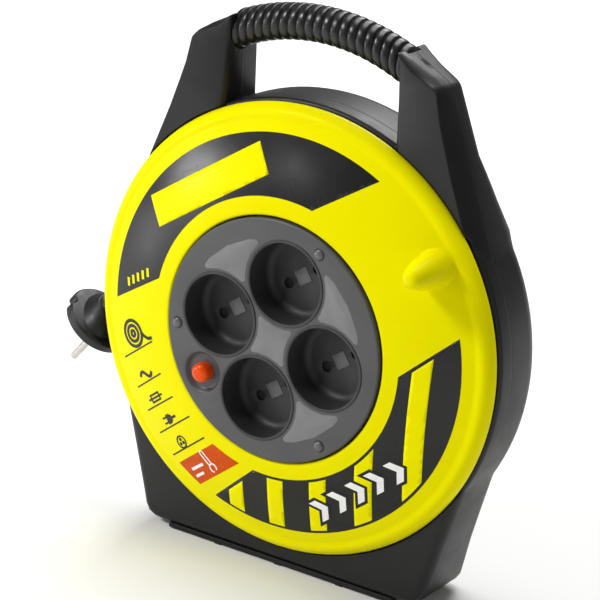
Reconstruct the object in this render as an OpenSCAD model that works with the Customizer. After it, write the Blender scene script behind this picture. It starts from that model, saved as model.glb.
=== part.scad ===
// Cassette extension cord reel: a closed two-part case with a carrying handle,
// and a drum with four sockets, a thermal cut-out and a finger knob.
// +X to the right, -Y towards the user, +Z up; the origin lies under the drum axis
// on the middle foot bar. "Height" h on the drum axis is counted towards the user.

/* [Case] */
// Height of the drum axis above the surface the reel stands on
axis_z = 123; // [122:0.5:128]
// Radius of the round bulge of the case
bulge_r = 113.2; // [112.6:0.2:115]
// Radius of the bulge's rounded back edge
bulge_round = 12.8; // [8:0.4:15]
// Wall of the bulge round the cable compartment
case_wall = 3.7; // [3:0.1:5]
// Height of the case's front face in front of the middle plane
case_front = 18.5; // [18:0.1:18.8]
// Height of the front face of base and posts, outside the wheel
face_front = 21; // [20.4:0.2:22.4]
// Play between the wheel's rim and the case round it
wheel_play = 0.8; // [0.5:0.1:1.2]
// Depth of the case behind the middle plane
case_back = 20; // [19.4:0.2:24]
// Height of the parting plane between the two shells
parting = 8.5; // [8.2:0.1:10]
// Wall thickness of the case
wall = 3; // [2.4:0.2:3.4]
// Radius of the rounded front edge
front_round = 5; // [2:0.5:6]
// Radius of the rounded back edge of base and posts
back_round = 5; // [3:0.5:7]
// Clearance between the base of the case and the floor
base_lift = 3; // [2.6:0.2:5]
// How far the wheel's rim stands past the edge of the case's round mouth
mouth_cover = 7.8; // [7.2:0.2:8.4]
// Distance of the base's leaning sides from the drum axis
base_side = 110.2; // [107:0.2:111.2]
// Lean of the base's sides, in degrees
base_lean = 15.6; // [13:0.2:18]

/* [Handle] */
// Distance of the posts' leaning sides from the drum axis
post_side = 111.7; // [110:0.1:112.4]
// Lean of the posts' sides, in degrees
post_lean = 20.6; // [19:0.2:21]
// Height of the top edge at the grip above the drum axis
post_top = 146.7; // [145.6:0.1:149]
// Slope of the top edge, in degrees
top_slope = 29.5; // [27:0.5:31]
// Radius of the rounded shoulder
shoulder_round = 7; // [5:0.5:14]
// Half the free width between the handle posts
hand_half = 45.6; // [43:0.2:46]
// Radius of the arched centre line of the grip
grip_arc_r = 110; // [102:1:122]
// Outer radius of the ribbed grip sleeve
grip_r = 8.9; // [8.3:0.1:9.1]
// Height of the grip's centre line where it meets a post
grip_end_z = 138.4; // [137:0.2:138.8]
// Number of ribs on the grip sleeve
grip_ribs = 21; // [14:1:22]
// Depth of the grooves between the ribs
groove_depth = 0.9; // [0.5:0.1:1.2]
// Height of the back of a post at its shoulder
post_back = -2.8; // [-6:0.2:-2.4]
// Radius of the rounded outer back edge of a post
post_round = 6.5; // [4:0.5:8]
// How far a post's inner front edge is drawn back
palm_round = 2.6; // [1.6:0.2:3.4]
// How far the grip sleeve reaches into a post
sleeve_seat = 2.4; // [1:0.2:3]

/* [Wheel] */
// How far the wheel's rim lies inside the edge of the bulge
rim_reveal = 1.4; // [0.8:0.2:3.2]
// Height of the wheel's inner edge
wheel_top = 38; // [36:0.5:40]
// Height of the wheel's outer rim
wheel_rim = 20; // [19.8:0.2:20.4]
// Wall of the wheel
wheel_wall = 2.6; // [2.2:0.1:3]
// Radius of the round opening for the socket panel
hub_r = 60.9; // [60.7:0.1:61.5]
// Distance of the finger knob's middle from the wheel's rim
knob_inset = 15.3; // [14.8:0.5:18]
// Direction of the finger knob at rest
knob_angle = 34; // [0:1:360]
// Height of the finger knob's tip
knob_tip = 53.2; // [50:0.4:60]
// Radius of the finger knob at its foot
knob_r = 9.2; // [8.6:0.1:10.4]

/* [Drum] */
// How far the drum is turned at rest
drum_turn = -10.9; // [-30:0.1:30]
// Height of the back face of the rear flange
flange_back = -13; // [-13.5:0.5:-12]
// Thickness of the rear flange
flange_wall = 2.5; // [2:0.1:3]
// Room between the rear flange and the wall of the cable compartment
flange_gap = 6.5; // [5.5:0.5:9]
// Radius of the axle boss
axle_r = 8; // [7:0.5:9]
// Radial running clearance of the drum on its axle boss
axle_gap = 0.05; // [0.02:0.01:0.09]

/* [Sockets] */
// Height of the socket panel's face
panel_top = 39.5; // [39:0.1:40.5]
// Thickness of the socket panel
panel_wall = 2.5; // [2:0.1:3]
// Radius of the socket panel
panel_r = 60; // [59.5:0.1:60.2]
// Radius of a socket well
well_r = 19.75; // [19.5:0.05:20]
// Depth of a socket well
well_depth = 15.4; // [13:0.2:16]
// Distance of the wells from the axis
well_at = 30.8; // [30.6:0.1:31.4]
// Distance between the two pin holes of a socket
pin_pitch = 19; // [18.5:0.1:19.5]
// Radius of a pin hole
pin_hole_r = 2.6; // [2.4:0.1:3]
// Side of the square pad between two pin holes
pad_side = 8; // [7:0.2:10]
// Distance of the reset button from the axis
button_at = 45.8; // [45:0.1:46.5]
// Radius of the reset button
button_r = 4.8; // [4:0.1:5]
// Height of the reset button above the panel face
button_out = 4; // [3:0.5:6]
// Radial running clearance of the reset button
button_gap = 0.06; // [0.03:0.01:0.1]

/* [Cord] */
// Diameter of the cord
cord_d = 6.2; // [5.8:0.1:6.6]
// Gap between neighbouring turns on the drum
turn_gap = 0.5; // [0.45:0.05:0.8]
// Turns side by side on the drum
turns_wide = 5; // [4:1:5]
// Radius of the outer layer's centre line
outer_layer_r = 82.8; // [80:0.2:83]
// Height of the cord's outlet in the case wall
outlet_h = 1; // [0:0.5:1.5]
// Radius of the outlet bush
bush_r = 6.5; // [6:0.1:7]

/* [Plug] */
// Radius of the plug's round contact face
plug_r = 18.6; // [17.5:0.1:19]
// Thickness of the plug's flange
plug_flange = 6.5; // [5:0.5:7]
// Length of a plug pin
pin_l = 19; // [17:0.5:19.5]
// Radius of a plug pin
pin_r = 2; // [1.8:0.05:2.4]
// How far the plug is turned about its own axis
plug_turn = -33; // [-45:1:45]
// How far the plug hangs away from the line of its cord, in degrees
plug_lean = 8; // [0:1:12]

/* [Hidden] */

$fn = 96;
eps = 0.01;
seat = 0.2; // clearance between pieces that sit on each other
mid = [0, 0, axis_z];

// ---------- helpers ----------
// local x right, local y up, local z towards the user
module on_axis() { translate(mid) rotate([90, 0, 0]) children(); }
// the same, turned with the drum
module on_drum() { on_axis() rotate([0, 0, drum_turn]) children(); }
module at_polar(r, a) { rotate([0, 0, a]) translate([r, 0, 0]) children(); }
module disc(r, h0, h1) { translate([0, 0, h0]) cylinder(r = r, h = h1 - h0); }
module ring(r0, r1, h0, h1) {
    difference() {
        disc(r1, h0, h1);
        disc(r0, h0 - 1, h1 + 1);
    }
}
module both_sides() { for (m = [0, 1]) mirror([m, 0, 0]) children(); }
function polar(r, a) = [r * cos(a), r * sin(a)];
function arc(c, r, a0, a1, n) = [for (i = [0:n]) c + polar(r, a0 + (a1 - a0) * i / n)];
function unit(v) = v / norm(v);
function mirrored(p) = [for (i = [len(p) - 1:-1:0]) [-p[i].x, p[i].y]];

// ---------- case: a round bulge, a base with leaning sides and two handle posts ----------
base_y = base_lift - axis_z;
cavity_r = bulge_r - case_wall;  // cable compartment
wheel_r = bulge_r - rim_reveal;   // outer radius of the wheel
mouth_r = wheel_r - mouth_cover;  // round mouth of the front shell
flange_r = cavity_r - flange_gap; // rear flange
knob_at = wheel_r - knob_inset;
cavity_back = case_wall - case_back;
edge_n = 5;
// quarter circle used for rounded corners of a section in x and h
function corner(x, h, r, a0) = [for (i = [0:edge_n]) [x, h] + polar(r, a0 + 90 * i / edge_n)];
// section with its own radius at each corner: right front, left front, left back, right back
function section(x0, x1, h0, h1, r) = concat(corner(x1 - r[0], h1 - r[0], r[0], 0),
    corner(x0 + r[1], h1 - r[1], r[1], 90),
    corner(x0 + r[2], h0 + r[2], r[2], 180), corner(x1 - r[3], h0 + r[3], r[3], 270));
// closed skin through sections stacked upwards, each [y, section]
module stack(levels) {
    n = len(levels[0][1]);
    k = len(levels);
    points = [for (l = levels) for (q = l[1]) [q.x, l[0], q.y]];
    sides = [for (j = [0:k - 2]) for (i = [0:n - 1]) let (i2 = (i + 1) % n)
        each [[j * n + i, j * n + i2, (j + 1) * n + i2],
              [j * n + i, (j + 1) * n + i2, (j + 1) * n + i]]];
    low = [for (i = [n - 1:-1:0]) i];
    high = [for (i = [0:n - 1]) (k - 1) * n + i];
    polyhedron(points, concat(sides, [low, high]), convexity = 6);
}

// base: half width against height, with rounded lower corners
corner_r = 9;
function base_x(y) = (base_side + y * sin(base_lean)) / cos(base_lean);
base_c = [base_x(base_y + corner_r) - corner_r * 1.02, base_y + corner_r];
low_round = 3; // rounding of the lower front and back edges
function base_back(y) = lookup(y, [[-112, back_round], [-92, 10], [-75, 12], [-58, bulge_round + 0.8]]);
module base_body(d) {
    rows = concat([for (a = [-90, -78, -62, -42, -20]) base_c + polar(corner_r, a)],
        [for (y = [base_c.y + 4, -100, -92, -84, -75, -66, -58, -44, -30]) [base_x(y), y]]);
    kept = [for (p = rows) if (d == 0 || p.y > base_y + d) p];
    first = d == 0 ? [] : [[base_c.x, base_y + d]];
    stack([for (p = concat(first, kept)) let (e = max(0, low_round - (p.y - base_y)),
        t = d > 0 ? 0 : low_round - sqrt(max(0, low_round * low_round - e * e)),
        f = max(0.6, front_round - d), b = max(0.6, base_back(p.y) - d))
        [p.y, section(d - p.x, p.x - d, -case_back + d + t, face_front - d - t, [f, f, b, b])]]);
}

// posts: outer edge runs up a leaning side, round the shoulder and along the top edge
function post_x(y) = (post_side - y * sin(post_lean)) / cos(post_lean);
top_dir = [-cos(top_slope), sin(top_slope)];
top_at = [hand_half, post_top];
// where side line and top line cross
cross_t = (post_side - top_at.x * cos(post_lean) - top_at.y * sin(post_lean))
    / (cos(top_slope) * cos(post_lean) - sin(top_slope) * sin(post_lean));
cross_at = top_at - top_dir * cross_t;
turn_a = 90 - top_slope - post_lean; // angle turned at the shoulder
round_len = shoulder_round * tan(turn_a / 2);
side_end = cross_at + round_len * [sin(post_lean), -cos(post_lean)];
shoulder_c = side_end - shoulder_round * [cos(post_lean), sin(post_lean)];
post_edge = concat([for (y = [36, 50, 60, 65, 72, 80, 88, 95, 101, 110, 119]) [y, post_x(y)]],
    [for (i = [0:4]) let (q = shoulder_c + polar(shoulder_round, post_lean + turn_a * i / 4)) [q.y, q.x]],
    [for (t = [0.4, 0.75]) let (q = cross_at + top_dir * (round_len + (cross_t - round_len) * t)) [q.y, q.x]],
    [[post_top - 0.35, hand_half + 1.2]]);
// the outer side curves in towards a crease on the front face, and the inner edge is drawn back
crease_in = 5;
crease_deep = 14;
function side_in(y) = lookup(y, [[36, crease_in - 0.8], [95, crease_in], [118, crease_in - 0.8], [126, 2.8],
    [132, 2], [138, 5], [142, 8], [150, 9]]);
// the inner edge is drawn back further lower down
palm_deep = 12;
function palm_in(y) = palm_round + 3.3 * max(0, 138 - y) / 37;
function side_deep(y) = lookup(y, [[36, crease_deep], [122, crease_deep - 1], [132, 8], [138, 5.5], [150, 5]]);
// the top face drops from the front to the back, so the front runs further out there
function front_out(y) = lookup(y, [[132, 0], [134, 0.3], [137, 1.2], [141, 1], [147, 0]]);
function post_section(x0, x1, h0, h1, r, in, deep, k, out) = concat(
    [for (i = [0:edge_n]) let (t = i / edge_n) [x1 + out - in * t ^ 1.7, h1 - deep * (1 - t)]],
    [for (q = corner(0, 0, r[0], 90)) [x0 + r[0] + q.x, h1 + (q.y - r[0]) * k]],
    corner(x0 + r[1], h0 + r[1], r[1], 180), corner(x1 - r[2], h0 + r[2], r[2], 270));
// back surface: full depth low down, rising towards the shoulder
back_rows = [[-200, -case_back], [65, -case_back], [101, post_back - 1.4], [130, post_back],
    [150, post_back + 0.8]];
function outer_back(y) = lookup(y, [[60, bulge_round + 0.8], [78, 11], [90, 8], [101, post_round]]);
function back_at(y) = lookup(y, back_rows);
module post_body(d, top) {
    stack([for (q = post_edge) if (q[0] < top) let (y = q[0], x1 = q[1] - d * 1.07, x0 = hand_half + d,
        wide = x1 - x0, w = min(wide, face_front - back_at(y) - 2 * d), in = min(side_in(y), wide * 0.5),
        b = max(0.4, min(outer_back(y) - d, w * 0.45)), p = max(0.3, min(palm_in(y) - d, w * 0.3)),
        e = max(0.3, min(2 - d, w * 0.3)))
        [y, post_section(x0, x1, back_at(y) + d, face_front - d, [p, e, b], in,
            min(side_deep(y), face_front - back_at(y) - 2 * d - b - 1),
            d > 0 ? 1 : min(palm_deep, side_deep(y) * 1.5) / p, front_out(y))]]);
}
front_edge = 2;
module bulge_body() {
    rotate_extrude($fn = 180) polygon(concat([[0, -case_back]],
        [for (a = [-90:10:0]) [bulge_r - bulge_round, bulge_round - case_back] + polar(bulge_round, a)],
        [for (a = [0:15:90]) [bulge_r - front_edge, case_front - front_edge] + polar(front_edge, a)],
        [[0, case_front]]));
}
module cavity() {
    inner_round = bulge_round - case_wall;
    rotate_extrude($fn = 180) polygon(concat([[0, cavity_back]],
        [for (a = [-90:15:0]) [cavity_r - inner_round, cavity_back + inner_round] + polar(inner_round, a)],
        [[cavity_r, case_front - wall], [0, case_front - wall]]));
}
pocket_top = 125;
module case_solid() {
    bulge_body();
    base_body(0);
    both_sides() post_body(0, 400);
}
module case_hollow() {
    cavity();
    difference() {
        union() {
            base_body(wall);
            both_sides() post_body(wall, pocket_top);
        }
        disc(wheel_r + wheel_play + wall, -100, 100);
    }
}
screw_spots = [[71, -103], [60.5, 112]];
boss_r = 4.6;
module screw_bosses(h0, h1) {
    both_sides() for (s = screw_spots)
        translate([s.x, s.y, max(h0, back_at(s.y) + 1)]) cylinder(r = boss_r, h = h1 - max(h0, back_at(s.y) + 1), $fn = 32);
}

// ---------- the cord's way out of the case ----------
leave_deg = 148.5; // direction of the point where the cord leaves the winding
run_r = outer_layer_r + cord_d + 1.2; // centre line of the cord's last run
leave_dir = [cos(leave_deg + 90), 0, sin(leave_deg + 90)];
leave_pt = [run_r * cos(leave_deg), -outlet_h, axis_z + run_r * sin(leave_deg)];
function along(s) = leave_pt + leave_dir * s;
module on_cord(s) { translate(along(s)) rotate([0, -leave_deg, 0]) children(); }
bush_in = 45;
bush_out = 71;
tail_in = 50; // where the free stretch begins, inside the bush
sleeve_in = 75.5;
body_in = 9; // from here on counted along the plug from the sleeve's start
face_at = 24;
pin_root = 9;           // how deep a pin is moulded into the plug
pin_neck = pin_r - 0.4; // its thinner root
module on_plug(s) {
    translate(along(sleeve_in)) rotate([0, plug_lean - leave_deg, 0]) rotate([0, 0, plug_turn])
        translate([0, 0, s]) children();
}
plug_dir = [sin(plug_lean - leave_deg), 0, cos(plug_lean - leave_deg)];

module front_shell() {
    color([0.13, 0.13, 0.135]) on_axis() difference() {
        union() {
            difference() {
                case_solid();
                case_hollow();
            }
            screw_bosses(parting, face_front - wall + eps);
        }
        translate([-200, -200, parting - 200]) cube([400, 400, 200]);
        disc(mouth_r, 0, case_front + 1);
        disc(wheel_r + wheel_play, case_front, face_front + 1);
        both_sides() for (s = screw_spots) translate([s.x, s.y, parting - 1])
            cylinder(r = 1.3, h = face_front - wall - parting, $fn = 24);
        both_sides() grip_sockets();
    }
}
module rear_shell() {
    color([0.12, 0.12, 0.125]) on_axis() difference() {
        union() {
            difference() {
                case_solid();
                case_hollow();
            }
            screw_bosses(-case_back + 1, parting);
            disc(axle_r + 4, cavity_back - eps, flange_back - 1);
            disc(axle_r, cavity_back - eps, sleeve_top + 0.4);
            for (a = [0:60:300]) rotate([0, 0, a + 30]) translate([axle_r, -1, cavity_back - eps])
                cube([60, 2, 1.2]);
        }
        translate([-200, -200, parting]) cube([400, 400, 200]);
        disc(1.7, -8, 10);
        both_sides() for (s = screw_spots) translate([s.x, s.y, 0]) {
            translate([0, 0, -60]) cylinder(r = 1.9, h = 80, $fn = 24);
            translate([0, 0, -60]) cylinder(r = 3.6, h = 60 + screw_seat(s), $fn = 24);
        }
        ring(14, 92, -case_back - 1, -case_back + 1.2);
        both_sides() grip_sockets();
        bush_hole();
    }
}
module bush_hole() { rotate([-90, 0, 0]) translate(-mid) on_cord(bush_in - 8)
    cylinder(r = bush_r + 0.1, h = 40); }
function screw_seat(s) = back_at(s.y) + 6;

// ---------- handle ----------
grip_bar_r = 6.5;
grip_chord = hand_half + 0.6;
grip_c = grip_end_z - sqrt(grip_arc_r ^ 2 - grip_chord ^ 2);
sleeve_end = hand_half + sleeve_seat;
grip_half_a = asin(sleeve_end / grip_arc_r);
grip_h = 10; // the grip's centre plane
bar_extra = 4; // how far the bar reaches into a post, in degrees
module grip_sweep(r, a) {
    translate([0, grip_c, grip_h]) rotate([0, 0, 90 - a])
        rotate_extrude(angle = 2 * a, $fn = 200) translate([grip_arc_r, 0]) circle(r = r, $fn = 48);
}
// the bar's blind socket, and the wider recess that takes the end of the sleeve
module grip_sockets() {
    grip_sector(grip_bar_r + seat, grip_half_a - 4, grip_half_a + bar_extra + 0.1);
    intersection() {
        grip_sector(grip_r + seat, grip_half_a - 7, grip_half_a + 4);
        translate([0, 0, -100]) cube([sleeve_end + seat, 400, 200]);
    }
}
module grip_sector(r, a0, a1) {
    translate([0, grip_c, grip_h]) rotate([0, 0, 90 - a1])
        rotate_extrude(angle = a1 - a0, $fn = 200) translate([grip_arc_r, 0]) circle(r = r, $fn = 48);
}
module handle_bar() {
    color([0.14, 0.14, 0.14]) on_axis() grip_sweep(grip_bar_r, grip_half_a + bar_extra);
}
// ribbed sleeve: rings of points swept along the arch, outside and bore in one skin
rib_steps = 4;
sleeve_sides = 16;
function rib_r(j) = grip_r - [groove_depth, 0.15, 0, 0.1][j % rib_steps];
module grip_sleeve() {
    rings = grip_ribs * rib_steps;
    bore = grip_bar_r + seat;
    function ring_pt(j, r, i) = let (b = 360 * i / sleeve_sides, q = grip_arc_r + r * cos(b),
        a = 90 + asin(sleeve_end / q) * (1 - 2 * j / rings))
        [q * cos(a), grip_c + q * sin(a), grip_h + r * sin(b)];
    n = sleeve_sides;
    outer = [for (j = [0:rings]) for (i = [0:n - 1]) ring_pt(j, rib_r(j), i)];
    inner = [for (j = [0:rib_steps:rings]) for (i = [0:n - 1]) ring_pt(j, bore / cos(180 / n), i)];
    o = (rings + 1) * n;
    m = grip_ribs;
    skin_out = [for (j = [0:rings - 1]) for (i = [0:n - 1]) let (k = (i + 1) % n)
        each [[j * n + i, (j + 1) * n + i, j * n + k], [j * n + k, (j + 1) * n + i, (j + 1) * n + k]]];
    skin_in = [for (j = [0:m - 1]) for (i = [0:n - 1]) let (k = (i + 1) % n)
        each [[o + j * n + i, o + j * n + k, o + (j + 1) * n + i],
              [o + j * n + k, o + (j + 1) * n + k, o + (j + 1) * n + i]]];
    end_a = [for (i = [0:n - 1]) let (k = (i + 1) % n)
        each [[i, k, o + i], [k, o + k, o + i]]];
    e = rings * n;
    f = o + m * n;
    end_b = [for (i = [0:n - 1]) let (k = (i + 1) % n)
        each [[e + i, f + i, e + k], [e + k, f + i, f + k]]];
    color([0.09, 0.09, 0.09]) on_axis()
        polyhedron(concat(outer, inner), concat(skin_out, skin_in, end_a, end_b), convexity = 6);
}

// ---------- foot, fasteners, bush ----------
foot_half = 66;
foot_bar_w = 4;
foot_bar_h = 0.6;
module base_foot() {
    front = 0.5 - face_front;
    depth = case_back + face_front - 1;
    color([0.1, 0.1, 0.1]) {
        translate([-foot_half, front, foot_bar_h]) cube([2 * foot_half, depth, base_lift - foot_bar_h]);
        for (x = [-36, 0, 36]) translate([x - foot_bar_w / 2, front, 0])
            cube([foot_bar_w, depth, foot_bar_h + eps]);
    }
}
module screw(head_r, head_h, shank_r, shank_l) {
    // head on the local origin plane, shank upwards, with a cross slot in the head
    difference() {
        union() {
            translate([0, 0, -head_h]) cylinder(r = head_r, h = head_h, $fn = 32);
            cylinder(r = shank_r, h = shank_l, $fn = 24);
        }
        for (a = [0, 90]) rotate([0, 0, a]) translate([-head_r * 0.6, -0.4, -head_h - 1])
            cube([head_r * 1.2, 0.8, 1 + head_h * 0.5]);
    }
}
module case_screws() {
    color([0.6, 0.6, 0.62]) on_axis() both_sides() for (s = screw_spots)
        translate([s.x, s.y, screw_seat(s)]) screw(3.1, 2, 1.25, case_front - wall - 2 - screw_seat(s));
}
sleeve_top = -1; // height of the front end of the drum's bearing sleeve
module axle_washer() {
    color([0.62, 0.62, 0.64]) on_axis() ring(1.75, 13, sleeve_top + 0.4, sleeve_top + 1.9);
}
module axle_screw() {
    color([0.62, 0.62, 0.64]) on_axis() translate([0, 0, sleeve_top + 1.9])
        mirror([0, 0, 1]) screw(4.5, 2.6, 1.65, 8);
}
module outlet_bush() {
    color([0.1, 0.1, 0.1]) on_cord(bush_in) difference() {
        union() {
            cylinder(r = bush_r, h = bush_out - bush_in);
            cylinder(r = bush_r + 1.5, h = 3);
        }
        translate([0, 0, -1]) cylinder(r = cord_d / 2 + seat, h = 60);
    }
}

// ---------- cord and plug ----------
// round tube swept through points, closed at both ends
module tube(pts, r, sides) {
    n = len(pts);
    dirs = [for (i = [0:n - 1]) unit(pts[min(i + 1, n - 1)] - pts[max(i - 1, 0)])];
    side_v = [for (d = dirs) unit(cross(d, [0, 1, 0.001]))];
    ringed = [for (i = [0:n - 1]) for (j = [0:sides - 1]) let (a = 360 * j / sides,
        v = cross(dirs[i], side_v[i])) pts[i] + r * (cos(a) * side_v[i] + sin(a) * v)];
    skin = [for (i = [0:n - 2]) for (j = [0:sides - 1]) let (k = (j + 1) % sides)
        each [[i * sides + j, (i + 1) * sides + j, i * sides + k],
              [i * sides + k, (i + 1) * sides + j, (i + 1) * sides + k]]];
    cap_a = [for (j = [1:sides - 2]) [0, j, j + 1]];
    cap_b = [for (j = [1:sides - 2]) (n - 1) * sides * [1, 1, 1] + [0, j + 1, j]];
    polyhedron(ringed, concat(skin, cap_a, cap_b), convexity = 10);
}
module cord_run() {
    color([0.1, 0.1, 0.1]) tube([for (s = [2:8:tail_in]) along(s)], cord_d / 2, 12);
}
module cord_tail() {
    color([0.1, 0.1, 0.1]) tube([along(tail_in), along(58), along(66), along(bush_out),
        along(bush_out + 2.5), along(sleeve_in), along(sleeve_in) + plug_dir * 0.4], cord_d / 2, 12);
}
module plug_sleeve() {
    step = (body_in - 0.6) / 4;
    color([0.12, 0.12, 0.12]) on_plug(0.5) rotate_extrude() polygon(concat(
        [[0, 0]], [for (i = [0:3]) each let (z = step * i, r = 4.8 + i * 0.8)
            [[r, z], [r, z + step * 0.62], [r - 0.9, z + step * 0.72], [r - 0.9, z + step * 0.92]]],
        [[7.4, step * 4], [0, step * 4]]));
}
module plug_body() {
    len_b = face_at - body_in;
    grip_z = len_b - plug_flange;
    color([0.13, 0.13, 0.13]) on_plug(body_in) difference() {
        union() {
            hull() {
                cylinder(r = 8, h = 2, $fn = 32);
                translate([0, 0, grip_z * 0.6]) scale([0.85, 1.2, 1]) cylinder(r = 12, h = 1, $fn = 32);
                translate([0, 0, grip_z]) scale([0.85, 1.15, 1]) cylinder(r = 13.6, h = 1, $fn = 32);
            }
            translate([0, 0, grip_z]) rotate_extrude() polygon([[0, 0], [plug_r - 2.5, 0], [plug_r - 0.8, 0.5],
                [plug_r, 1.6], [plug_r, plug_flange - 1], [plug_r - 1, plug_flange], [0, plug_flange]]);
        }
        for (m = [-1, 1]) translate([m * (plug_r + 0.3), 0, grip_z - 2]) cylinder(r = 3.2, h = 20, $fn = 32);
        for (m = [-1, 1]) translate([0, m * pin_pitch / 2, len_b - pin_root]) cylinder(r = pin_neck, h = 20);
    }
}
module plug_pins() {
    tip_z = pin_l - pin_r * 0.65;
    color([0.75, 0.75, 0.76]) on_plug(face_at) for (m = [-1, 1])
        translate([0, m * pin_pitch / 2, 0]) rotate_extrude($fn = 48) polygon(concat(
            [[0, -pin_root], [pin_neck, -pin_root], [pin_neck, 0.3], [pin_r, 0.3], [pin_r, tip_z]],
            [for (a = [22.5:22.5:90]) [pin_r * 0.35 + pin_r * 0.65 * cos(a), tip_z + pin_r * 0.65 * sin(a)]],
            [[0, pin_l]]));
}

// ---------- wheel with knob, hub and ledge ----------
bead_r = wheel_r - 8.3; // where the dished face meets the raised rim
face_span = 41.5; // width that the face's curve is drawn for; it stretches with the wheel
function face_h(r) = let (d = (r - hub_r - 1.1) * face_span / (bead_r - hub_r - 1.1))
    wheel_top - 0.15 * d - d * d / 360;
rim_bead = [[bead_r + 1.6, face_h(bead_r) - 0.25], [bead_r + 3.5, face_h(bead_r) - 0.35],
    [bead_r + 5.4, face_h(bead_r) - 1.3], [bead_r + 7.1, face_h(bead_r) - 3],
    [bead_r + 8, face_h(bead_r) - 5], [wheel_r, face_h(bead_r) - 6.2]];
wheel_face = concat([[hub_r, wheel_top - 0.7], [hub_r + 0.5, wheel_top - 0.15]],
    [for (r = [hub_r + 1.5:5.3:bead_r - 2]) [r, face_h(r)]], [[bead_r, face_h(bead_r)]], rim_bead);
wheel_under = [for (i = [len(wheel_face) - 1:-1:2])
    [min(wheel_face[i].x, wheel_r - wheel_wall), wheel_face[i].y - wheel_wall * 1.05]];
ledge_top = 28;
ledge_wall = 3;
guide_r = mouth_r - 1.5;
panel_screw_a = [75.4, 195.4, 315.4];
drum_screw_a = [15.4, 135.4, 255.4];
cap_at = 54.4;
post_at = hub_r - 3.9;
entry_a = 165; // direction of the hole where the cord enters the hub
entry_h = 2;
// knob outline: foot radius against the share of the height above the wheel
knob_foot = 29;
knob_l = knob_tip - knob_foot;
knob_profile = concat([[0, knob_foot]], [for (p = [[1, 0], [0.96, 0.13], [0.88, 0.33], [0.76, 0.54],
    [0.635, 0.74], [0.52, 0.865], [0.36, 0.95], [0.2, 0.99], [0.1, 1], [0, 1]]) [knob_r * p[0], knob_foot + knob_l * p[1]]]);
module knob_solid(cut) {
    at_polar(knob_at, knob_angle - drum_turn) rotate_extrude($fn = 64)
        polygon(cut ? [[0, 10], [knob_r - 3.2, 10], [knob_r - 3.2, knob_foot + knob_l * 0.2],
            [knob_r * 0.76 - 2.8, knob_foot + knob_l * 0.54],
            [1.4, knob_foot + knob_l * 0.75], [0, knob_foot + knob_l * 0.75]] : knob_profile);
}
module wheel() {
    color([0.96, 0.86, 0]) on_drum() difference() {
        union() {
            rotate_extrude($fn = 180) polygon(concat(wheel_face,
                [[wheel_r, wheel_rim], [wheel_r - wheel_wall, wheel_rim]], wheel_under,
                [[hub_r + wheel_wall, wheel_top - 5], [hub_r + wheel_wall, flange_back + flange_wall],
                 [hub_r, flange_back + flange_wall]]));
            ring(guide_r - 2.4, guide_r, 14, face_h(guide_r) - 1);
            ring(56.5, hub_r + 0.5, ledge_top - ledge_wall, ledge_top);
            knob_solid(false);
            for (a = drum_screw_a) at_polar(post_at, a)
                disc(4.2, flange_back + flange_wall, ledge_top - ledge_wall + eps);
            for (a = panel_screw_a) at_polar(cap_at, a) disc(3.8, 14, ledge_top);
        }
        knob_solid(true);
        for (a = drum_screw_a) at_polar(post_at, a) disc(1.25, flange_back, 8);
        for (a = panel_screw_a) at_polar(cap_at, a) disc(1.25, 15, ledge_top + 1);
        rotate([0, 0, entry_a]) translate([hub_r - 6, 0, entry_h]) rotate([0, 90, 0])
            cylinder(r = cord_d / 2 + 0.3, h = 12, $fn = 48);
    }
}
module rear_flange() {
    bore = axle_r + axle_gap;
    top = flange_back + flange_wall;
    color([0.16, 0.16, 0.165]) on_drum() difference() {
        union() {
            disc(flange_r, flange_back, top - seat);
            ring(flange_r - 2, flange_r, flange_back, top + 1.5);
            disc(bore + 3.2, flange_back, sleeve_top);
            for (a = [0:45:315]) rotate([0, 0, a + 20]) translate([bore + 2, -1, top - seat - eps])
                cube([31, 2, 4]);
        }
        disc(bore, flange_back - 1, sleeve_top + 1);
        for (a = drum_screw_a) at_polar(post_at, a) disc(1.5, flange_back - 1, top + 1);
    }
}
module drum_screws() {
    color([0.6, 0.6, 0.62]) on_drum() for (a = drum_screw_a) at_polar(post_at, a)
        translate([0, 0, flange_back]) screw(3.2, 1.6, 1.2, 14);
}

// ---------- socket panel ----------
well_floor = panel_top - well_depth;
floor_wall = 2;
cup_r = well_r + 1.75;
button_a = 225;
recess_r = 10.4;
recess_depth = 2.2;
pin_line_a = 45;
function well_a(i) = 90 * i;
module each_well() { for (i = [0:3]) at_polar(well_at, well_a(i)) rotate([0, 0, -well_a(i)]) children(); }
module each_pin(live) {
    // live holes on one side of the pin line, neutral on the other
    for (s = live == 1 ? [1] : live == 0 ? [-1] : [-1, 1])
        rotate([0, 0, pin_line_a]) translate([s * pin_pitch / 2, 0, 0]) children();
}
inlay_depth = 0.8;
inlay_gap = 0.12;
lobe_r = well_r + 2.9; // clear ring round a well
module inlay_raw() {
    difference() {
        circle(r = 13.4);
        for (i = [0:3]) translate(polar(well_at, well_a(i))) circle(r = lobe_r);
    }
    for (a = [45, 135, 315]) difference() {
        intersection() {
            circle(r = 50);
            rotate([0, 0, a]) translate([31, -22]) square([30, 44]);
        }
        for (i = [0:3]) translate(polar(well_at, well_a(i))) circle(r = lobe_r);
    }
}
tip_round = 1.6;
module inlay_shape(d) {
    offset(r = tip_round - d, $fn = 24) offset(delta = -tip_round) inlay_raw();
}
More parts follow.
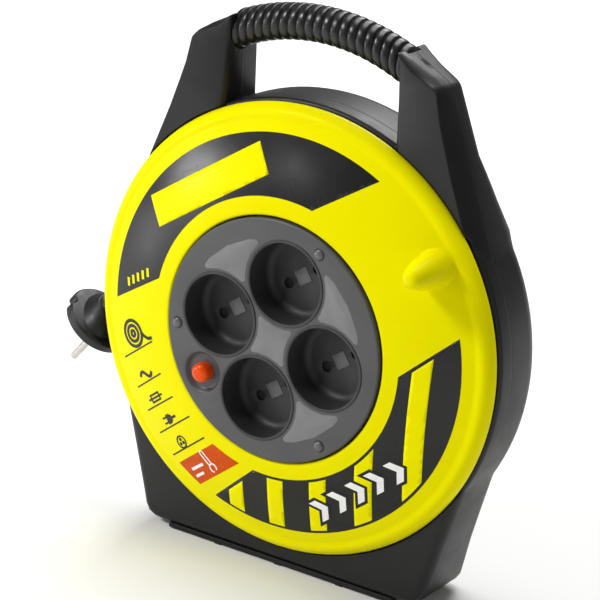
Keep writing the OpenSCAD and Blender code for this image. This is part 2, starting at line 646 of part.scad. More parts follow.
module socket_panel() {
    color([0.31, 0.31, 0.32]) on_drum() difference() {
        union() {
            disc(panel_r - 0.6, panel_top - panel_wall, panel_top);
            disc(panel_r, panel_top - panel_wall, panel_top - 0.5);
            ring(panel_r - 2, panel_r, ledge_top + 1, panel_top - 1);
            each_well() {
                disc(cup_r, well_floor - floor_wall, panel_top - 1);
                disc(well_r + 1.55, panel_top - 1, panel_top + 0.5);
            }
            for (a = panel_screw_a) at_polar(cap_at, a) disc(4.4, ledge_top + seat, panel_top - 1);
            disc(4.6, cover_top + cover_wall + seat, panel_top - 1);
        }
        each_well() {
            disc(well_r, well_floor + 1, panel_top + 2);
            disc(well_r - 0.6, well_floor, well_floor + 2);
            each_pin(2) disc(pin_hole_r, 0, well_floor + 1);
            rotate([0, 0, pin_line_a]) translate([-pad_side / 2, -pad_side / 2, well_floor - 0.8])
                cube([pad_side, pad_side, 2]);
        }
        translate([0, 0, panel_top - inlay_depth]) linear_extrude(2) inlay_shape(0);
        at_polar(button_at, button_a) {
            translate([0, 0, panel_top - recess_depth + 0.01])
                cylinder(r1 = recess_r - 1.6, r2 = recess_r, h = recess_depth);
            disc(button_r + button_gap, 0, panel_top);
        }
        for (a = panel_screw_a) at_polar(cap_at, a) {
            disc(1.5, 20, panel_top);
            disc(2.7, ledge_top + 4, panel_top + 1);
        }
        disc(1.2, 0, panel_top - 6);
    }
}
module panel_inlays() {
    color([0.56, 0.56, 0.57]) on_drum() translate([0, 0, panel_top - inlay_depth + 0.05])
        linear_extrude(inlay_depth) inlay_shape(inlay_gap);
}
module well_pads() {
    color([0.55, 0.55, 0.56]) on_drum() each_well() rotate([0, 0, pin_line_a])
        translate([-pad_side / 2 + 0.1, -pad_side / 2 + 0.1, well_floor - 0.75])
            cube([pad_side - 0.2, pad_side - 0.2, 1.05]);
}
module screw_caps() {
    color([0.42, 0.42, 0.43]) on_drum() for (a = panel_screw_a) at_polar(cap_at, a)
        translate([0, 0, panel_top]) rotate_extrude($fn = 48)
            polygon([[0, -2.5], [2.6, -2.5], [2.6, 0.3], [2.2, 0.9], [1.4, 1.35], [0, 1.5]]);
}
module panel_screws() {
    color([0.6, 0.6, 0.62]) on_drum() for (a = panel_screw_a) at_polar(cap_at, a)
        translate([0, 0, ledge_top + 4]) mirror([0, 0, 1]) screw(2.5, 2, 1.2, 14);
}

// ---------- contacts ----------
bar_top = well_floor - floor_wall - seat;
bar_wall = 0.8;
tulip_r = pin_r + 0.05;
comb_w = 8;
function pin_xy(i, s) = polar(well_at, well_a(i)) + polar(s * pin_pitch / 2, pin_line_a);
// a comb of two strips with four spring sleeves; wells 0,1 share one strip and wells 2,3 the other
module contact_comb(s) {
    end = s * (well_at * sin(45) + 10.5);
    rotate([0, 0, pin_line_a]) difference() {
        union() {
            for (k = [-1, 1]) {
                u = k * well_at * cos(45) + s * pin_pitch / 2;
                y0 = min(-s * (well_at * sin(45) + 4), end);
                y1 = max(-s * (well_at * sin(45) + 4), end);
                translate([u - comb_w / 2, y0, bar_top - bar_wall]) cube([comb_w, y1 - y0, bar_wall]);
            }
            translate([-well_at * cos(45) + s * pin_pitch / 2 - comb_w / 2, min(end, end - s * 5), bar_top - bar_wall])
                cube([2 * well_at * cos(45) + comb_w, 5, bar_wall]);
            for (k = [-1, 1]) for (v = [-1, 1])
                translate([k * well_at * cos(45) + s * pin_pitch / 2, v * well_at * sin(45), bar_top - 8])
                    cylinder(r = tulip_r + 0.8, h = 8, $fn = 48);
        }
        for (k = [-1, 1]) for (v = [-1, 1])
            translate([k * well_at * cos(45) + s * pin_pitch / 2, v * well_at * sin(45), bar_top - 9]) {
                cylinder(r = tulip_r, h = 12, $fn = 48);
                translate([-0.3, -5, -1]) cube([0.6, 10, 6]);
            }
    }
}
module live_contacts() { color([0.8, 0.62, 0.3]) on_drum() contact_comb(1); }
module neutral_contacts() { color([0.8, 0.62, 0.3]) on_drum() contact_comb(-1); }
cover_top = bar_top - 9.4;
cover_wall = 2;
module contact_cover() {
    color([0.75, 0.73, 0.68]) on_drum() difference() {
        union() {
            disc(50, cover_top, cover_top + cover_wall);
            ring(48.3, 50, cover_top, bar_top - bar_wall - 0.6);
        }
        at_polar(button_at, button_a) disc(14, 0, 30);
        for (a = concat(panel_screw_a, drum_screw_a)) at_polar(post_at - 1, a) disc(6.5, 0, 30);
        disc(1.5, 0, 30);
        for (i = [0:3]) for (s = [-1, 1]) translate([pin_xy(i, s).x, pin_xy(i, s).y, cover_top + cover_wall - 0.8])
            cylinder(r = tulip_r + 1.3, h = 5, $fn = 32);
    }
}
module cover_screw() {
    color([0.6, 0.6, 0.62]) on_drum() translate([0, 0, cover_top]) screw(3.4, 2, 1.1, 12);
}

// ---------- thermal cut-out and its button ----------
breaker_top = panel_top - panel_wall - seat;
breaker_side = 15;
stem_r = 2.2;
stem_l = 13;
module breaker_body() {
    color([0.1, 0.1, 0.11]) on_drum() at_polar(button_at, button_a) difference() {
        union() {
            translate([-breaker_side / 2, -breaker_side / 2, breaker_top - 22])
                cube([breaker_side, breaker_side, 18]);
            disc(6.6, breaker_top - 4 - eps, breaker_top);
        }
        disc(button_r + 0.3, breaker_top - 8, breaker_top + 1);
        disc(stem_r + 0.1, breaker_top - 8 - stem_l, breaker_top);
    }
}
module breaker_terminals() {
    color([0.8, 0.62, 0.3]) on_drum() at_polar(button_at, button_a) for (y = [-4.5, 4.5])
        translate([-2.4, y - 0.4, breaker_top - 22 - 8]) cube([4.8, 0.8, 8]);
}
module breaker_nut() {
    color([0.7, 0.7, 0.72]) on_drum() at_polar(button_at, button_a) difference() {
        disc(8.4, breaker_top - 3.6, breaker_top - 1.8);
        disc(6.6 + seat, breaker_top - 5, breaker_top);
    }
}
module reset_button() {
    color([0.93, 0.28, 0.08]) on_drum() at_polar(button_at, button_a) {
        translate([0, 0, panel_top]) rotate_extrude($fn = 64) polygon([[0, -5.5], [button_r, -5.5],
            [button_r, button_out - 2.6], [button_r - 0.5, button_out - 1.3], [button_r - 1.4, button_out - 0.4],
            [button_r - 2.6, button_out], [0, button_out]]);
        disc(stem_r, breaker_top - stem_l, panel_top - 5);
    }
}

// ---------- cord end inside the hub ----------
module cord_inner_end() {
    color([0.1, 0.1, 0.1]) on_drum() rotate([0, 0, entry_a]) translate([34, 0, entry_h])
        rotate([0, 90, 0]) cylinder(r = cord_d / 2, h = hub_r + wheel_wall + 0.1 - 34, $fn = 48);
}
clamp_at = 47;
clamp_w = 8;
module cable_clamp() {
    color([0.16, 0.16, 0.165]) on_drum() rotate([0, 0, entry_a]) translate([clamp_at, 0, 0]) difference() {
        union() {
            translate([-clamp_w / 2, -9, flange_back + flange_wall]) cube([clamp_w, 18, entry_h + 5 - flange_back - flange_wall]);
        }
        translate([-10, 0, entry_h]) rotate([0, 90, 0]) cylinder(r = cord_d / 2 + 0.1, h = 20, $fn = 48);
        for (y = [-6.2, 6.2]) translate([0, y, -6]) cylinder(r = 1.25, h = 20, $fn = 24);
    }
}
module clamp_screws() {
    color([0.6, 0.6, 0.62]) on_drum() rotate([0, 0, entry_a]) for (y = [-6.2, 6.2])
        translate([clamp_at, y, entry_h + 5]) mirror([0, 0, 1]) screw(2.4, 1.6, 1.2, 9);
}
lead_r = 1.2;
module inner_leads() {
    // both leads come out of the cord's end face and run to the contacts and the cut-out
    function from_cord(r, v) = let (q = polar(r, entry_a) + polar(v, entry_a + 90)) [q.x, q.y, entry_h];
    t = polar(button_at, button_a);
    color([0.25, 0.4, 0.65]) on_drum() {
        tube([from_cord(33.8, -1.5), from_cord(30, -1.6), [-25, 18, 4], [-14, 22, 6],
            [-2, 29, 7], [8, 32, cover_top - 3]], lead_r, 8);
        tube([from_cord(33.8, 1.5), from_cord(30, 1.6), [-31, 0, 1], [-32, -6, 0], [t.x - 1, t.y + 12, 1],
            [t.x - 3.2, t.y + 5, 3], [t.x - 3.2, t.y + 3.2, breaker_top - 22 - 8 - 0.9]], lead_r, 8);
    }
}

// ---------- winding ----------
turn_pitch = cord_d + turn_gap;
winding_w = turns_wide * turn_pitch;
winding_mid = (flange_back + flange_wall + wheel_top - 9) / 2 - 1.5;
loop_rings = 24;
module winding_core() {
    color([0.1, 0.1, 0.1]) on_drum() ring(hub_r + wheel_wall + seat, outer_layer_r - cord_d / 2 - 0.4,
        winding_mid - winding_w / 2, winding_mid + winding_w / 2);
}
function turn_pt(k) = let (a = 360 * k / loop_rings) [outer_layer_r * cos(a), outer_layer_r * sin(a),
    winding_mid + turn_pitch * (k / loop_rings - (turns_wide - 1) / 2)];
winding_steps = loop_rings * (turns_wide - 1);
function straight(k, s) = turn_pt(k) + s * cord_d * unit(turn_pt(k + 0.5) - turn_pt(k - 0.5));
winding_path = concat([straight(0, -1)], [for (k = [0:winding_steps]) turn_pt(k)], [straight(winding_steps, 1)]);
least_gap = min([for (k = [0:winding_steps - loop_rings]) norm(turn_pt(k + loop_rings) - turn_pt(k))]) - cord_d;
echo(least_gap_between_turns = least_gap);
layer_step = cord_d * 0.86;
layers = floor((outer_layer_r - hub_r - wheel_wall - cord_d / 2) / layer_step) + 1;
echo(layers = layers, cord_on_drum_m = 2 * PI * turns_wide / 1000
    * (layers * outer_layer_r - layer_step * layers * (layers - 1) / 2));
module winding_outer() {
    color([0.1, 0.1, 0.1]) on_drum() tube(winding_path, cord_d / 2, 6);
}

front_shell();
rear_shell();
base_foot();
handle_bar();
grip_sleeve();
case_screws();
axle_washer();
axle_screw();
outlet_bush();
cord_run();
cord_tail();
plug_sleeve();
plug_body();
plug_pins();
wheel();
rear_flange();
drum_screws();
socket_panel();
panel_inlays();
well_pads();
screw_caps();
panel_screws();
live_contacts();
neutral_contacts();
contact_cover();
cover_screw();
breaker_body();
breaker_terminals();
breaker_nut();
cord_inner_end();
cable_clamp();
clamp_screws();
inner_leads();
winding_core();
winding_outer();
reset_button();
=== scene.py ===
# %% [markdown]
# # Cassette extension cord reel
# The real object is a closed reel: a black moulded case with a carrying handle, and a drum
# with a yellow front wheel, a grey socket panel and about ten metres of cord inside.
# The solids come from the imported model. They already have their true sizes, in metres,
# with +X to the right, -Y towards the user and +Z up, so nothing has to be fitted here.
# A solid whose form is fine enough keeps its mesh and only gets a finish. The others are
# modelled again in the same places.

# %% Load the solids
import math

import bpy
from mathutils import Matrix, Vector


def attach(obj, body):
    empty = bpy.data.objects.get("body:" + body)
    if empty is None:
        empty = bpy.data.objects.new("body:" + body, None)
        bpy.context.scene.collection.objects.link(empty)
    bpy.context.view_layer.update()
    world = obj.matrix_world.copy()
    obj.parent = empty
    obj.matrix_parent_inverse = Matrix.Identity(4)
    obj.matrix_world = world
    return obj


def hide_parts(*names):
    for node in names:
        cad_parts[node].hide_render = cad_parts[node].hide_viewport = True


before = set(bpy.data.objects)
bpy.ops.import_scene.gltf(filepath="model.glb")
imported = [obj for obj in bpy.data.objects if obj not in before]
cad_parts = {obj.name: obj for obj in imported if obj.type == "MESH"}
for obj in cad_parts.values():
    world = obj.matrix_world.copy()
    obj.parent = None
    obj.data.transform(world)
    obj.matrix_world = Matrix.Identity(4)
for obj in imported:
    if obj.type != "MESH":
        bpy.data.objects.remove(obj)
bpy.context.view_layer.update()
scene = bpy.context.scene

# %% [markdown]
# ## The camera
# A wheel stays a clean ellipse only when it is seen from some distance through a long lens.
# The camera could be aimed with a Track To constraint, but it also leans a little to one
# side. So it is placed by measured numbers: where it stands, and which way its right and
# upper edges point. A lens of 168.8 mm on a 36 mm sensor gives the narrow angle.

# %% Camera
LENS_MM, SENSOR_MM = 168.8, 36
CAMERA_PLACE = (677.34, -1081.83, 591.02)  # mm
NEAREST, FARTHEST = 0.05, 50  # what the camera sees, m


def metres(*values):
    return Vector([v / 1000 for v in values])


camera_right = Vector((0.82934, 0.55493, 0.06518)).normalized()
camera_up = Vector((-0.23926, 0.24729, 0.93894)).normalized()
camera_back = camera_right.cross(camera_up).normalized()
camera_up = camera_back.cross(camera_right)
lens_data = bpy.data.cameras.new("long_lens")
lens_data.lens, lens_data.sensor_width = LENS_MM, SENSOR_MM
lens_data.clip_start, lens_data.clip_end = NEAREST, FARTHEST
camera = bpy.data.objects.new("camera", lens_data)
scene.collection.objects.link(camera)
camera_turn = Matrix((camera_right, camera_up, camera_back)).transposed().to_4x4()
camera.matrix_world = Matrix.Translation(metres(*CAMERA_PLACE)) @ camera_turn
scene.camera = camera
print("camera at", [round(v, 3) for v in camera.location])

# %% [markdown]
# ## The cord's free stretch
# About ten metres of round PVC cord are wound up in the case, and only a few millimetres
# show between the bush in the case wall and the sleeve of the plug. A curve with a round
# bevel would do as well. Here a disc is drawn out step by step with extrude, because that
# gives a closed tube at once. It starts inside the case, so that no cut end shows.

# %% Helpers: a clear bench, one piece in hand, a clean mesh, smooth shading


def clear_bench():
    if bpy.context.object and bpy.context.object.mode != "OBJECT":
        bpy.ops.object.mode_set(mode="OBJECT")
    bpy.ops.object.select_all(action="DESELECT")


def take(piece):
    """Selects this piece alone, so that the next operator acts on it and nothing else."""
    clear_bench()
    piece.select_set(True)
    bpy.context.view_layer.objects.active = piece


def tidy_mesh(merge=1e-6):
    bpy.ops.mesh.select_all(action="SELECT")
    bpy.ops.mesh.remove_doubles(threshold=merge)
    bpy.ops.mesh.select_all(action="SELECT")
    bpy.ops.mesh.normals_make_consistent(inside=False)


def smooth(piece, degrees=32):
    take(piece)
    bpy.ops.object.shade_smooth_by_angle(angle=math.radians(degrees))
    piece.select_set(False)
    return piece


# %% Cord
CORD_D = 6.2  # outer diameter, mm
STATIONS = (37, 41, 45, 49, 53, 57, 61, 65, 69, 72, 74.2, 75.5)  # mm from the winding
INTO_SLEEVE = 0.0004  # a last short step along the plug, m
leave_point = metres(-76.91, -1, 170.13)
leave_way = Vector((-0.5225, 0, -0.8526)).normalized()
plug_way = Vector((-0.6361, 0, -0.7716)).normalized()


def along_cord(s):
    return leave_point + leave_way * s / 1000


cord_route = [along_cord(s) for s in STATIONS]
cord_route.append(cord_route[-1] + plug_way * INTO_SLEEVE)
clear_bench()
bpy.ops.mesh.primitive_circle_add(vertices=32, radius=CORD_D / 2000, fill_type="NGON",
                                  location=(0, 0, 0))
cord = bpy.context.object
cord.name = cord.data.name = "free_cord"
tilt = leave_way.to_track_quat("Z", "Y").to_matrix().to_4x4()
cord.data.transform(Matrix.Translation(cord_route[0]) @ tilt)
bpy.ops.object.mode_set(mode="EDIT")
bpy.ops.mesh.select_all(action="SELECT")
for a, b in zip(cord_route, cord_route[1:]):
    bpy.ops.mesh.extrude_region_move(TRANSFORM_OT_translate={"value": b - a})
tidy_mesh()
smooth(cord, 40)
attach(cord, "case")
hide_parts("cord_tail")
route_length = sum((b - a).length for a, b in zip(cord_route, cord_route[1:]))
print("free stretch, mm:", round(route_length * 1000, 1))

# %% [markdown]
# ## The floor
# The reel stands on a plain pale sweep: a floor that bends up behind it, as in a studio. Two
# flat planes would show a line where they meet. So one plane is stretched, and its back edge
# is extruded up along a quarter of a circle.

# %% Floor
HALF_WIDTH, HALF_DEPTH = 6, 4  # of the flat floor, m
BEND_STEPS, BEND_STEP, WALL = 8, 0.4, 4  # steps of the bend, their length and the wall, m
clear_bench()
bpy.ops.mesh.primitive_plane_add(size=2, location=(0, 0, 0))
floor = bpy.context.object
floor.name = floor.data.name = "pale_floor"
bpy.ops.object.mode_set(mode="EDIT")
bpy.ops.mesh.select_all(action="SELECT")
bpy.ops.transform.resize(value=(HALF_WIDTH, HALF_DEPTH, 1))
bpy.ops.mesh.select_all(action="DESELECT")
bpy.ops.object.mode_set(mode="OBJECT")
for edge in floor.data.edges:
    ends = [floor.data.vertices[i].co for i in edge.vertices]
    edge.select = all(v.y > HALF_DEPTH - 0.1 for v in ends)
bpy.ops.object.mode_set(mode="EDIT")
bpy.ops.mesh.select_mode(type="EDGE")
for step in range(BEND_STEPS):
    a = math.radians(90 * (step + 1) / BEND_STEPS)
    lift = Vector((0, math.cos(a), math.sin(a))) * BEND_STEP
    bpy.ops.mesh.extrude_region_move(TRANSFORM_OT_translate={"value": lift})
bpy.ops.mesh.extrude_region_move(TRANSFORM_OT_translate={"value": (0, 0, WALL)})
bpy.ops.mesh.select_mode(type="VERT")
tidy_mesh()
smooth(floor, 40)
print("floor faces:", len(floor.data.polygons))

# %% [markdown]
# ## The light
# Glossy black plastic is seen by what it mirrors, so one lamp isn't enough and each soft box
# has its own job. The main one stands high on the left: the left walls of the socket wells
# fall into shadow while their right walls are lit. A low one on the left lights the side of
# the case, a wide weak one on the right keeps the black posts readable, one from above draws
# a soft line on the case, and one behind keeps the sweep white. Two small cards near the
# reel put soft spots of shine on its black parts.

# %% Soft boxes and air
MIDDLE = (0, 0, 0.13)  # the middle of the reel, m
AIR_STRENGTH = 0.17


def soft_box(name, at, aim, size, watts):
    data = bpy.data.lights.new(name, "AREA")
    data.shape, data.size, data.energy = "SQUARE", size, watts
    box = bpy.data.objects.new(name, data)
    scene.collection.objects.link(box)
    box.location = at
    box.rotation_euler = (Vector(aim) - Vector(at)).to_track_quat("-Z", "Y").to_euler()


soft_box("key_box_left", (-1.0, -1.25, 1.4), MIDDLE, 0.4, 25)
soft_box("side_box_left", (-1.5, -1.15, 0.25), MIDDLE, 0.25, 7)
soft_box("fill_box_right", (1.6, -1.2, 0.7), MIDDLE, 1.2, 3)
soft_box("top_box", (-0.1, 0.3, 1.6), MIDDLE, 0.9, 18)
soft_box("back_box", (-0.3, 1.5, 1.5), (-0.3, 1.1, 0), 1, 26)
soft_box("card_left", (-0.55, -0.95, 0.38), (0, 0, 0.2), 0.12, 0.4)
soft_box("card_low", (-0.63, -0.33, 0.03), (-0.08, 0, 0.14), 0.1, 0.14)
world = bpy.data.worlds.new("studio_air")
scene.world = world
world.use_nodes = True
scene.view_settings.view_transform = "Standard"  # keeps a pure yellow pure
air = world.node_tree.nodes["Background"]
air.inputs["Color"].default_value = (1, 1, 1, 1)
air.inputs["Strength"].default_value = AIR_STRENGTH

# %% [markdown]
# ## Finishes
# A flat colour looks like paper, and an image would need a file. So a finish is one shader
# with noise patterns on Object coordinates, which stay on the piece when it moves. Noise
# scale is one over the size of a patch in metres, so a 40 mm cloud has a scale of 25. A wide
# cloud shifts the colour a little, a second one shifts the gloss, as handling does, and a
# fine grain makes the relief that a spark-eroded mould leaves. That grain is about 0.1 mm on
# the real plastic, too fine to show, so it is drawn some five times as coarse.

# %% Helpers: hex colours, nodes


def colour(hex_code):
    parts = [int(hex_code[i:i + 2], 16) / 255 for i in (1, 3, 5)]
    return [c / 12.92 if c <= 0.04045 else ((c + 0.055) / 1.055) ** 2.4 for c in parts] + [1]


def add_node(tree, kind, sockets=None, links=None, **settings):
    node = tree.nodes.new(kind)
    for key, value in settings.items():
        setattr(node, key, value)
    for key, value in (sockets or {}).items():
        node.inputs[key].default_value = value
    for key, source in (links or {}).items():
        tree.links.new(source, node.inputs[key])
    return node


# %% Helpers: a finish, and how a piece gets it
CLOUD_DETAIL, WIPE_DETAIL, GRAIN_DETAIL = 3, 4.0, 2.0
NOISE_LOW, NOISE_HIGH = 0.3, 0.7  # noise hardly ever leaves this span
WIPE_FINER, WIPE_SWIRL = 2.6, 0.6  # marks of handling are finer than the clouds, and swirl
RELIEF_M = 0.0002  # full height of the relief


def finish(name, shades, gloss, grain_mm, relief, cloud_mm=40, edge_mm=0, **shader):
    """A shader with a cloudy colour between two shades, a cloudy roughness and a fine relief."""
    material = bpy.data.materials.new(name)
    material.use_nodes = True
    tree = material.node_tree
    tree.nodes.clear()
    place = add_node(tree, "ShaderNodeTexCoord").outputs["Object"]
    cloud = add_node(tree, "ShaderNodeTexNoise",
                     {"Scale": 1000 / cloud_mm, "Detail": CLOUD_DETAIL}, {"Vector": place})
    tone = add_node(tree, "ShaderNodeValToRGB", links={"Fac": cloud.outputs["Fac"]})
    for stop, at, shade in zip(tone.color_ramp.elements, (NOISE_LOW, NOISE_HIGH), shades):
        stop.position, stop.color = at, colour(shade)
    wipe = add_node(tree, "ShaderNodeTexNoise",
                    {"Scale": 1000 * WIPE_FINER / cloud_mm, "Detail": WIPE_DETAIL,
                     "Distortion": WIPE_SWIRL}, {"Vector": place})
    rough = add_node(tree, "ShaderNodeMapRange",
                     {"From Min": NOISE_LOW, "From Max": NOISE_HIGH,
                      "To Min": gloss[0], "To Max": gloss[1]}, {"Value": wipe.outputs["Fac"]})
    grain = add_node(tree, "ShaderNodeTexNoise",
                     {"Scale": 1000 / grain_mm, "Detail": GRAIN_DETAIL}, {"Vector": place})
    bump = add_node(tree, "ShaderNodeBump", {"Strength": relief, "Distance": RELIEF_M},
                    {"Height": grain.outputs["Fac"]})
    if edge_mm:  # moulded edges catch light in a soft line
        edge = add_node(tree, "ShaderNodeBevel", {"Radius": edge_mm / 1000}, samples=6)
        tree.links.new(edge.outputs["Normal"], bump.inputs["Normal"])
    body = add_node(tree, "ShaderNodeBsdfPrincipled", links={
        "Base Color": tone.outputs["Color"], "Roughness": rough.outputs["Result"],
        "Normal": bump.outputs["Normal"]})
    for key, value in shader.items():
        body.inputs[key.replace("_", " ")].default_value = value
    add_node(tree, "ShaderNodeOutputMaterial", links={"Surface": body.outputs["BSDF"]})
    return material


def paint(piece, material):
    piece.data.materials.clear()
    piece.data.materials.append(material)


# %% [markdown]
# ## Finishes of the case
# - Floor: matt pale paper, so that it shows soft shadows and no mirror image.
# - Case: polypropylene, moulded in a lightly textured tool. It is near black with a satin
#   sheen, and hands polish it unevenly. The foot is rougher, where it rubs on the ground.
# - Grip: glossy vinyl, shinier than the case. Cord and plug: soft PVC with a dull sheen.
# - Pins: nickel-plated brass, which gives small bright highlights.

# %% Finishes: floor, case, grip, cord and plug
floor_finish = finish("pale_paper_sweep", ("#ECECEA", "#F2F2F0"), (0.75, 0.85),
                      cloud_mm=900, grain_mm=6, relief=0.01)
case_finish = finish("polypropylene_black_satin", ("#131314", "#17171A"), (0.37, 0.46),
                     grain_mm=0.7, relief=0.12, edge_mm=0.9, IOR=1.49, Specular_IOR_Level=0.32)
foot_finish = finish("polypropylene_black_matt", ("#101011", "#161617"), (0.5, 0.62),
                     grain_mm=0.9, relief=0.15, edge_mm=0.6, IOR=1.49, Specular_IOR_Level=0.3)
grip_finish = finish("vinyl_black_gloss", ("#0F0F10", "#161617"), (0.26, 0.4), cloud_mm=18,
                     grain_mm=0.8, relief=0.06, IOR=1.53, Specular_IOR_Level=0.38)
cord_finish = finish("pvc_black_cord", ("#121213", "#1A1A1B"), (0.38, 0.5), cloud_mm=15,
                     grain_mm=0.6, relief=0.1, IOR=1.53, Specular_IOR_Level=0.35)
plug_finish = finish("pvc_black_plug", ("#131314", "#1C1C1D"), (0.4, 0.55), cloud_mm=14,
                     grain_mm=0.6, relief=0.12, edge_mm=0.5, IOR=1.53, Specular_IOR_Level=0.35)
nickel_finish = finish("nickel_plated_pins", ("#B8B6B0", "#C9C7C1"), (0.2, 0.32), cloud_mm=6,
                       grain_mm=0.5, relief=0.04, Metallic=1.0)
print("materials, with those of the solids:", len(bpy.data.materials))

# %% [markdown]
# ## Finishes of the drum
# - Wheel: ABS, moulded in a polished tool. Strong yellow, glossy. White highlights would
#   wash it out, so they are weak and tinted yellow.
# - Panel and wells: dark grey ABS with a fine texture, the wells duller. The wells are the
#   panel's own plastic; their darker colour is painted shade for the dim inside of the deep
#   cups. Inlays, pads and caps are lighter greys. The button is a glossy orange red.
# - Labels: printed vinyl film, smoother than the wheel under it.

# %% Finishes: wheel, panel, button and film
yellow_finish = finish("abs_yellow_gloss", ("#E2D900", "#E6DE00"), (0.26, 0.36), cloud_mm=60,
                       grain_mm=2.5, relief=0.02, IOR=1.53, Specular_IOR_Level=0.07,
                       Specular_Tint=(1, 0.93, 0.12, 1))
drum_finish = finish("abs_black_drum", ("#131314", "#1A1A1B"), (0.45, 0.55), grain_mm=0.8,
                     relief=0.1, IOR=1.53, Specular_IOR_Level=0.3)
panel_finish = finish("abs_dark_grey_panel", ("#434345", "#4B4B4D"), (0.34, 0.46), cloud_mm=30,
                      grain_mm=0.6, relief=0.08, IOR=1.53, Specular_IOR_Level=0.4)
# the wells' darker shades are painted shade for the inside of the cups, not a darker plastic
painted_shade_well_finish = finish("abs_dark_grey_wells_painted_shade", ("#29292B", "#323234"), (0.5, 0.62), cloud_mm=20,
                     grain_mm=0.6, relief=0.08, IOR=1.53, Specular_IOR_Level=0.4)
inlay_finish = finish("abs_light_grey_inlay", ("#666668", "#717173"), (0.36, 0.5), cloud_mm=12,
                      grain_mm=0.8, relief=0.1, IOR=1.53)
pad_finish = finish("abs_mid_grey_pad", ("#565658", "#626264"), (0.4, 0.55), cloud_mm=5,
                    grain_mm=0.7, relief=0.15, IOR=1.53)
cap_finish = finish("abs_grey_caps", ("#4C4C4E", "#58585A"), (0.25, 0.4), cloud_mm=4,
                    grain_mm=0.8, relief=0.05, IOR=1.53)
button_finish = finish("abs_orange_red_button", ("#D43C00", "#DE4A04"), (0.2, 0.3), cloud_mm=5,
                       grain_mm=1.2, relief=0.02, IOR=1.53, Specular_IOR_Level=0.4,
                       Specular_Tint=(1, 0.6, 0.3, 1))
black_print = finish("vinyl_label_black", ("#141414", "#1B1B1B"), (0.23, 0.28), cloud_mm=30,
                     grain_mm=4, relief=0.03, IOR=1.5, Specular_IOR_Level=0.3)
yellow_print = finish("vinyl_label_yellow", ("#E6DE00", "#EAE200"), (0.2, 0.28), cloud_mm=50,
                      grain_mm=4, relief=0.02, IOR=1.5, Specular_IOR_Level=0.06,
                      Specular_Tint=(1, 0.93, 0.12, 1))
orange_print = finish("vinyl_label_orange", ("#BC4202", "#C64A04"), (0.22, 0.3), cloud_mm=12,
                      grain_mm=4, relief=0.02, IOR=1.5, Specular_IOR_Level=0.25,
                      Specular_Tint=(1, 0.5, 0.1, 1))
white_print = finish("vinyl_label_white", ("#E4E4E2", "#EEEEEC"), (0.22, 0.3), cloud_mm=12,
                     grain_mm=4, relief=0.02, IOR=1.5)
print("materials, with the drum's:", len(bpy.data.materials))

# %% [markdown]
# ## Finishes of the inner parts
# - Screws: zinc-plated steel, a cool grey. Contacts: plain brass strip, a warm yellow.
# - Contact cover: natural nylon, a dull cream. Leads: blue PVC.
# The solids that stay as they are get their finish from one table, so that none is missed.

# %% Finishes: metals, nylon and leads
steel_finish = finish("zinc_plated_steel", ("#A9ABAE", "#BDBFC2"), (0.28, 0.42), cloud_mm=5,
                      grain_mm=0.4, relief=0.08, Metallic=1.0)
brass_finish = finish("brass_strip", ("#C79A4A", "#D8AE5E"), (0.25, 0.4), cloud_mm=9,
                      grain_mm=0.5, relief=0.05, Metallic=1.0)
nylon_finish = finish("nylon_natural", ("#CFC8B6", "#DAD4C4"), (0.4, 0.5), cloud_mm=25,
                      grain_mm=0.8, relief=0.08, IOR=1.53)
wire_finish = finish("pvc_blue_wire", ("#1F4F9C", "#2A5DAE"), (0.4, 0.5), cloud_mm=6,
                     grain_mm=0.6, relief=0.05, IOR=1.53)
print("materials, with the inner parts':", len(bpy.data.materials))

# %% Dress the solids


def dress(node, material):
    """Gives a carried-over solid its finish in every material slot it has."""
    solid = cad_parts[node]
    if not solid.material_slots:
        solid.data.materials.append(material)
    for place in solid.material_slots:
        place.material = material


wardrobe = {
    case_finish: ("front_shell", "rear_shell"),
    foot_finish: ("base_foot",),
    grip_finish: ("grip_sleeve",),
    plug_finish: ("outlet_bush", "plug_sleeve", "plug_body"),
    nickel_finish: ("plug_pins",),
    cord_finish: ("cord_run", "cord_inner_end", "winding_core", "winding_outer"),
    yellow_finish: ("wheel",),
    drum_finish: ("handle_bar", "rear_flange", "breaker_body", "cable_clamp"),
    panel_finish: ("socket_panel",),
    inlay_finish: ("panel_inlays",),
    pad_finish: ("well_pads",),
    cap_finish: ("screw_caps",),
    button_finish: ("reset_button",),
    steel_finish: ("case_screws", "axle_washer", "axle_screw", "drum_screws", "panel_screws",
                   "cover_screw", "breaker_nut", "clamp_screws"),
    brass_finish: ("live_contacts", "neutral_contacts", "breaker_terminals"),
    nylon_finish: ("contact_cover",),
    wire_finish: ("inner_leads",),
}
for material, nodes in wardrobe.items():
    for node in nodes:
        dress(node, material)
paint(floor, floor_finish)
paint(cord, cord_finish)
print("dressed solids:", sum(len(nodes) for nodes in wardrobe.values()))

# %% [markdown]
# ## The wheel
# The wheel is the front flange of the drum: a dished ring of yellow ABS with a raised,
# rounded rim and a tube that holds the socket panel. It could be built from a disc with
# insets and bevels, but its face falls away from the hub in a shallow curve, which a drawn
# line gives more exactly. The reel is full of such round things on one axis, so most pieces
# are turned: a line is drawn point by point with extrude and spun round the axis, as a
# turner would think of it. Places are counted from the drum axis as x, y and the height h
# towards the user, all in mm.

# %% Helpers: places on the axis
AXIS_Z = 123  # height of the drum axis above the floor, mm


def on_axis(x, y, h):
    return metres(x, -h, AXIS_Z + y)


def polar(r, degrees):
    a = math.radians(degrees)
    return r * math.cos(a), r * math.sin(a)


# %% Helpers: a drawn line, a turned piece
SEED = 0.002  # side of the small plane that a drawn line starts from, m


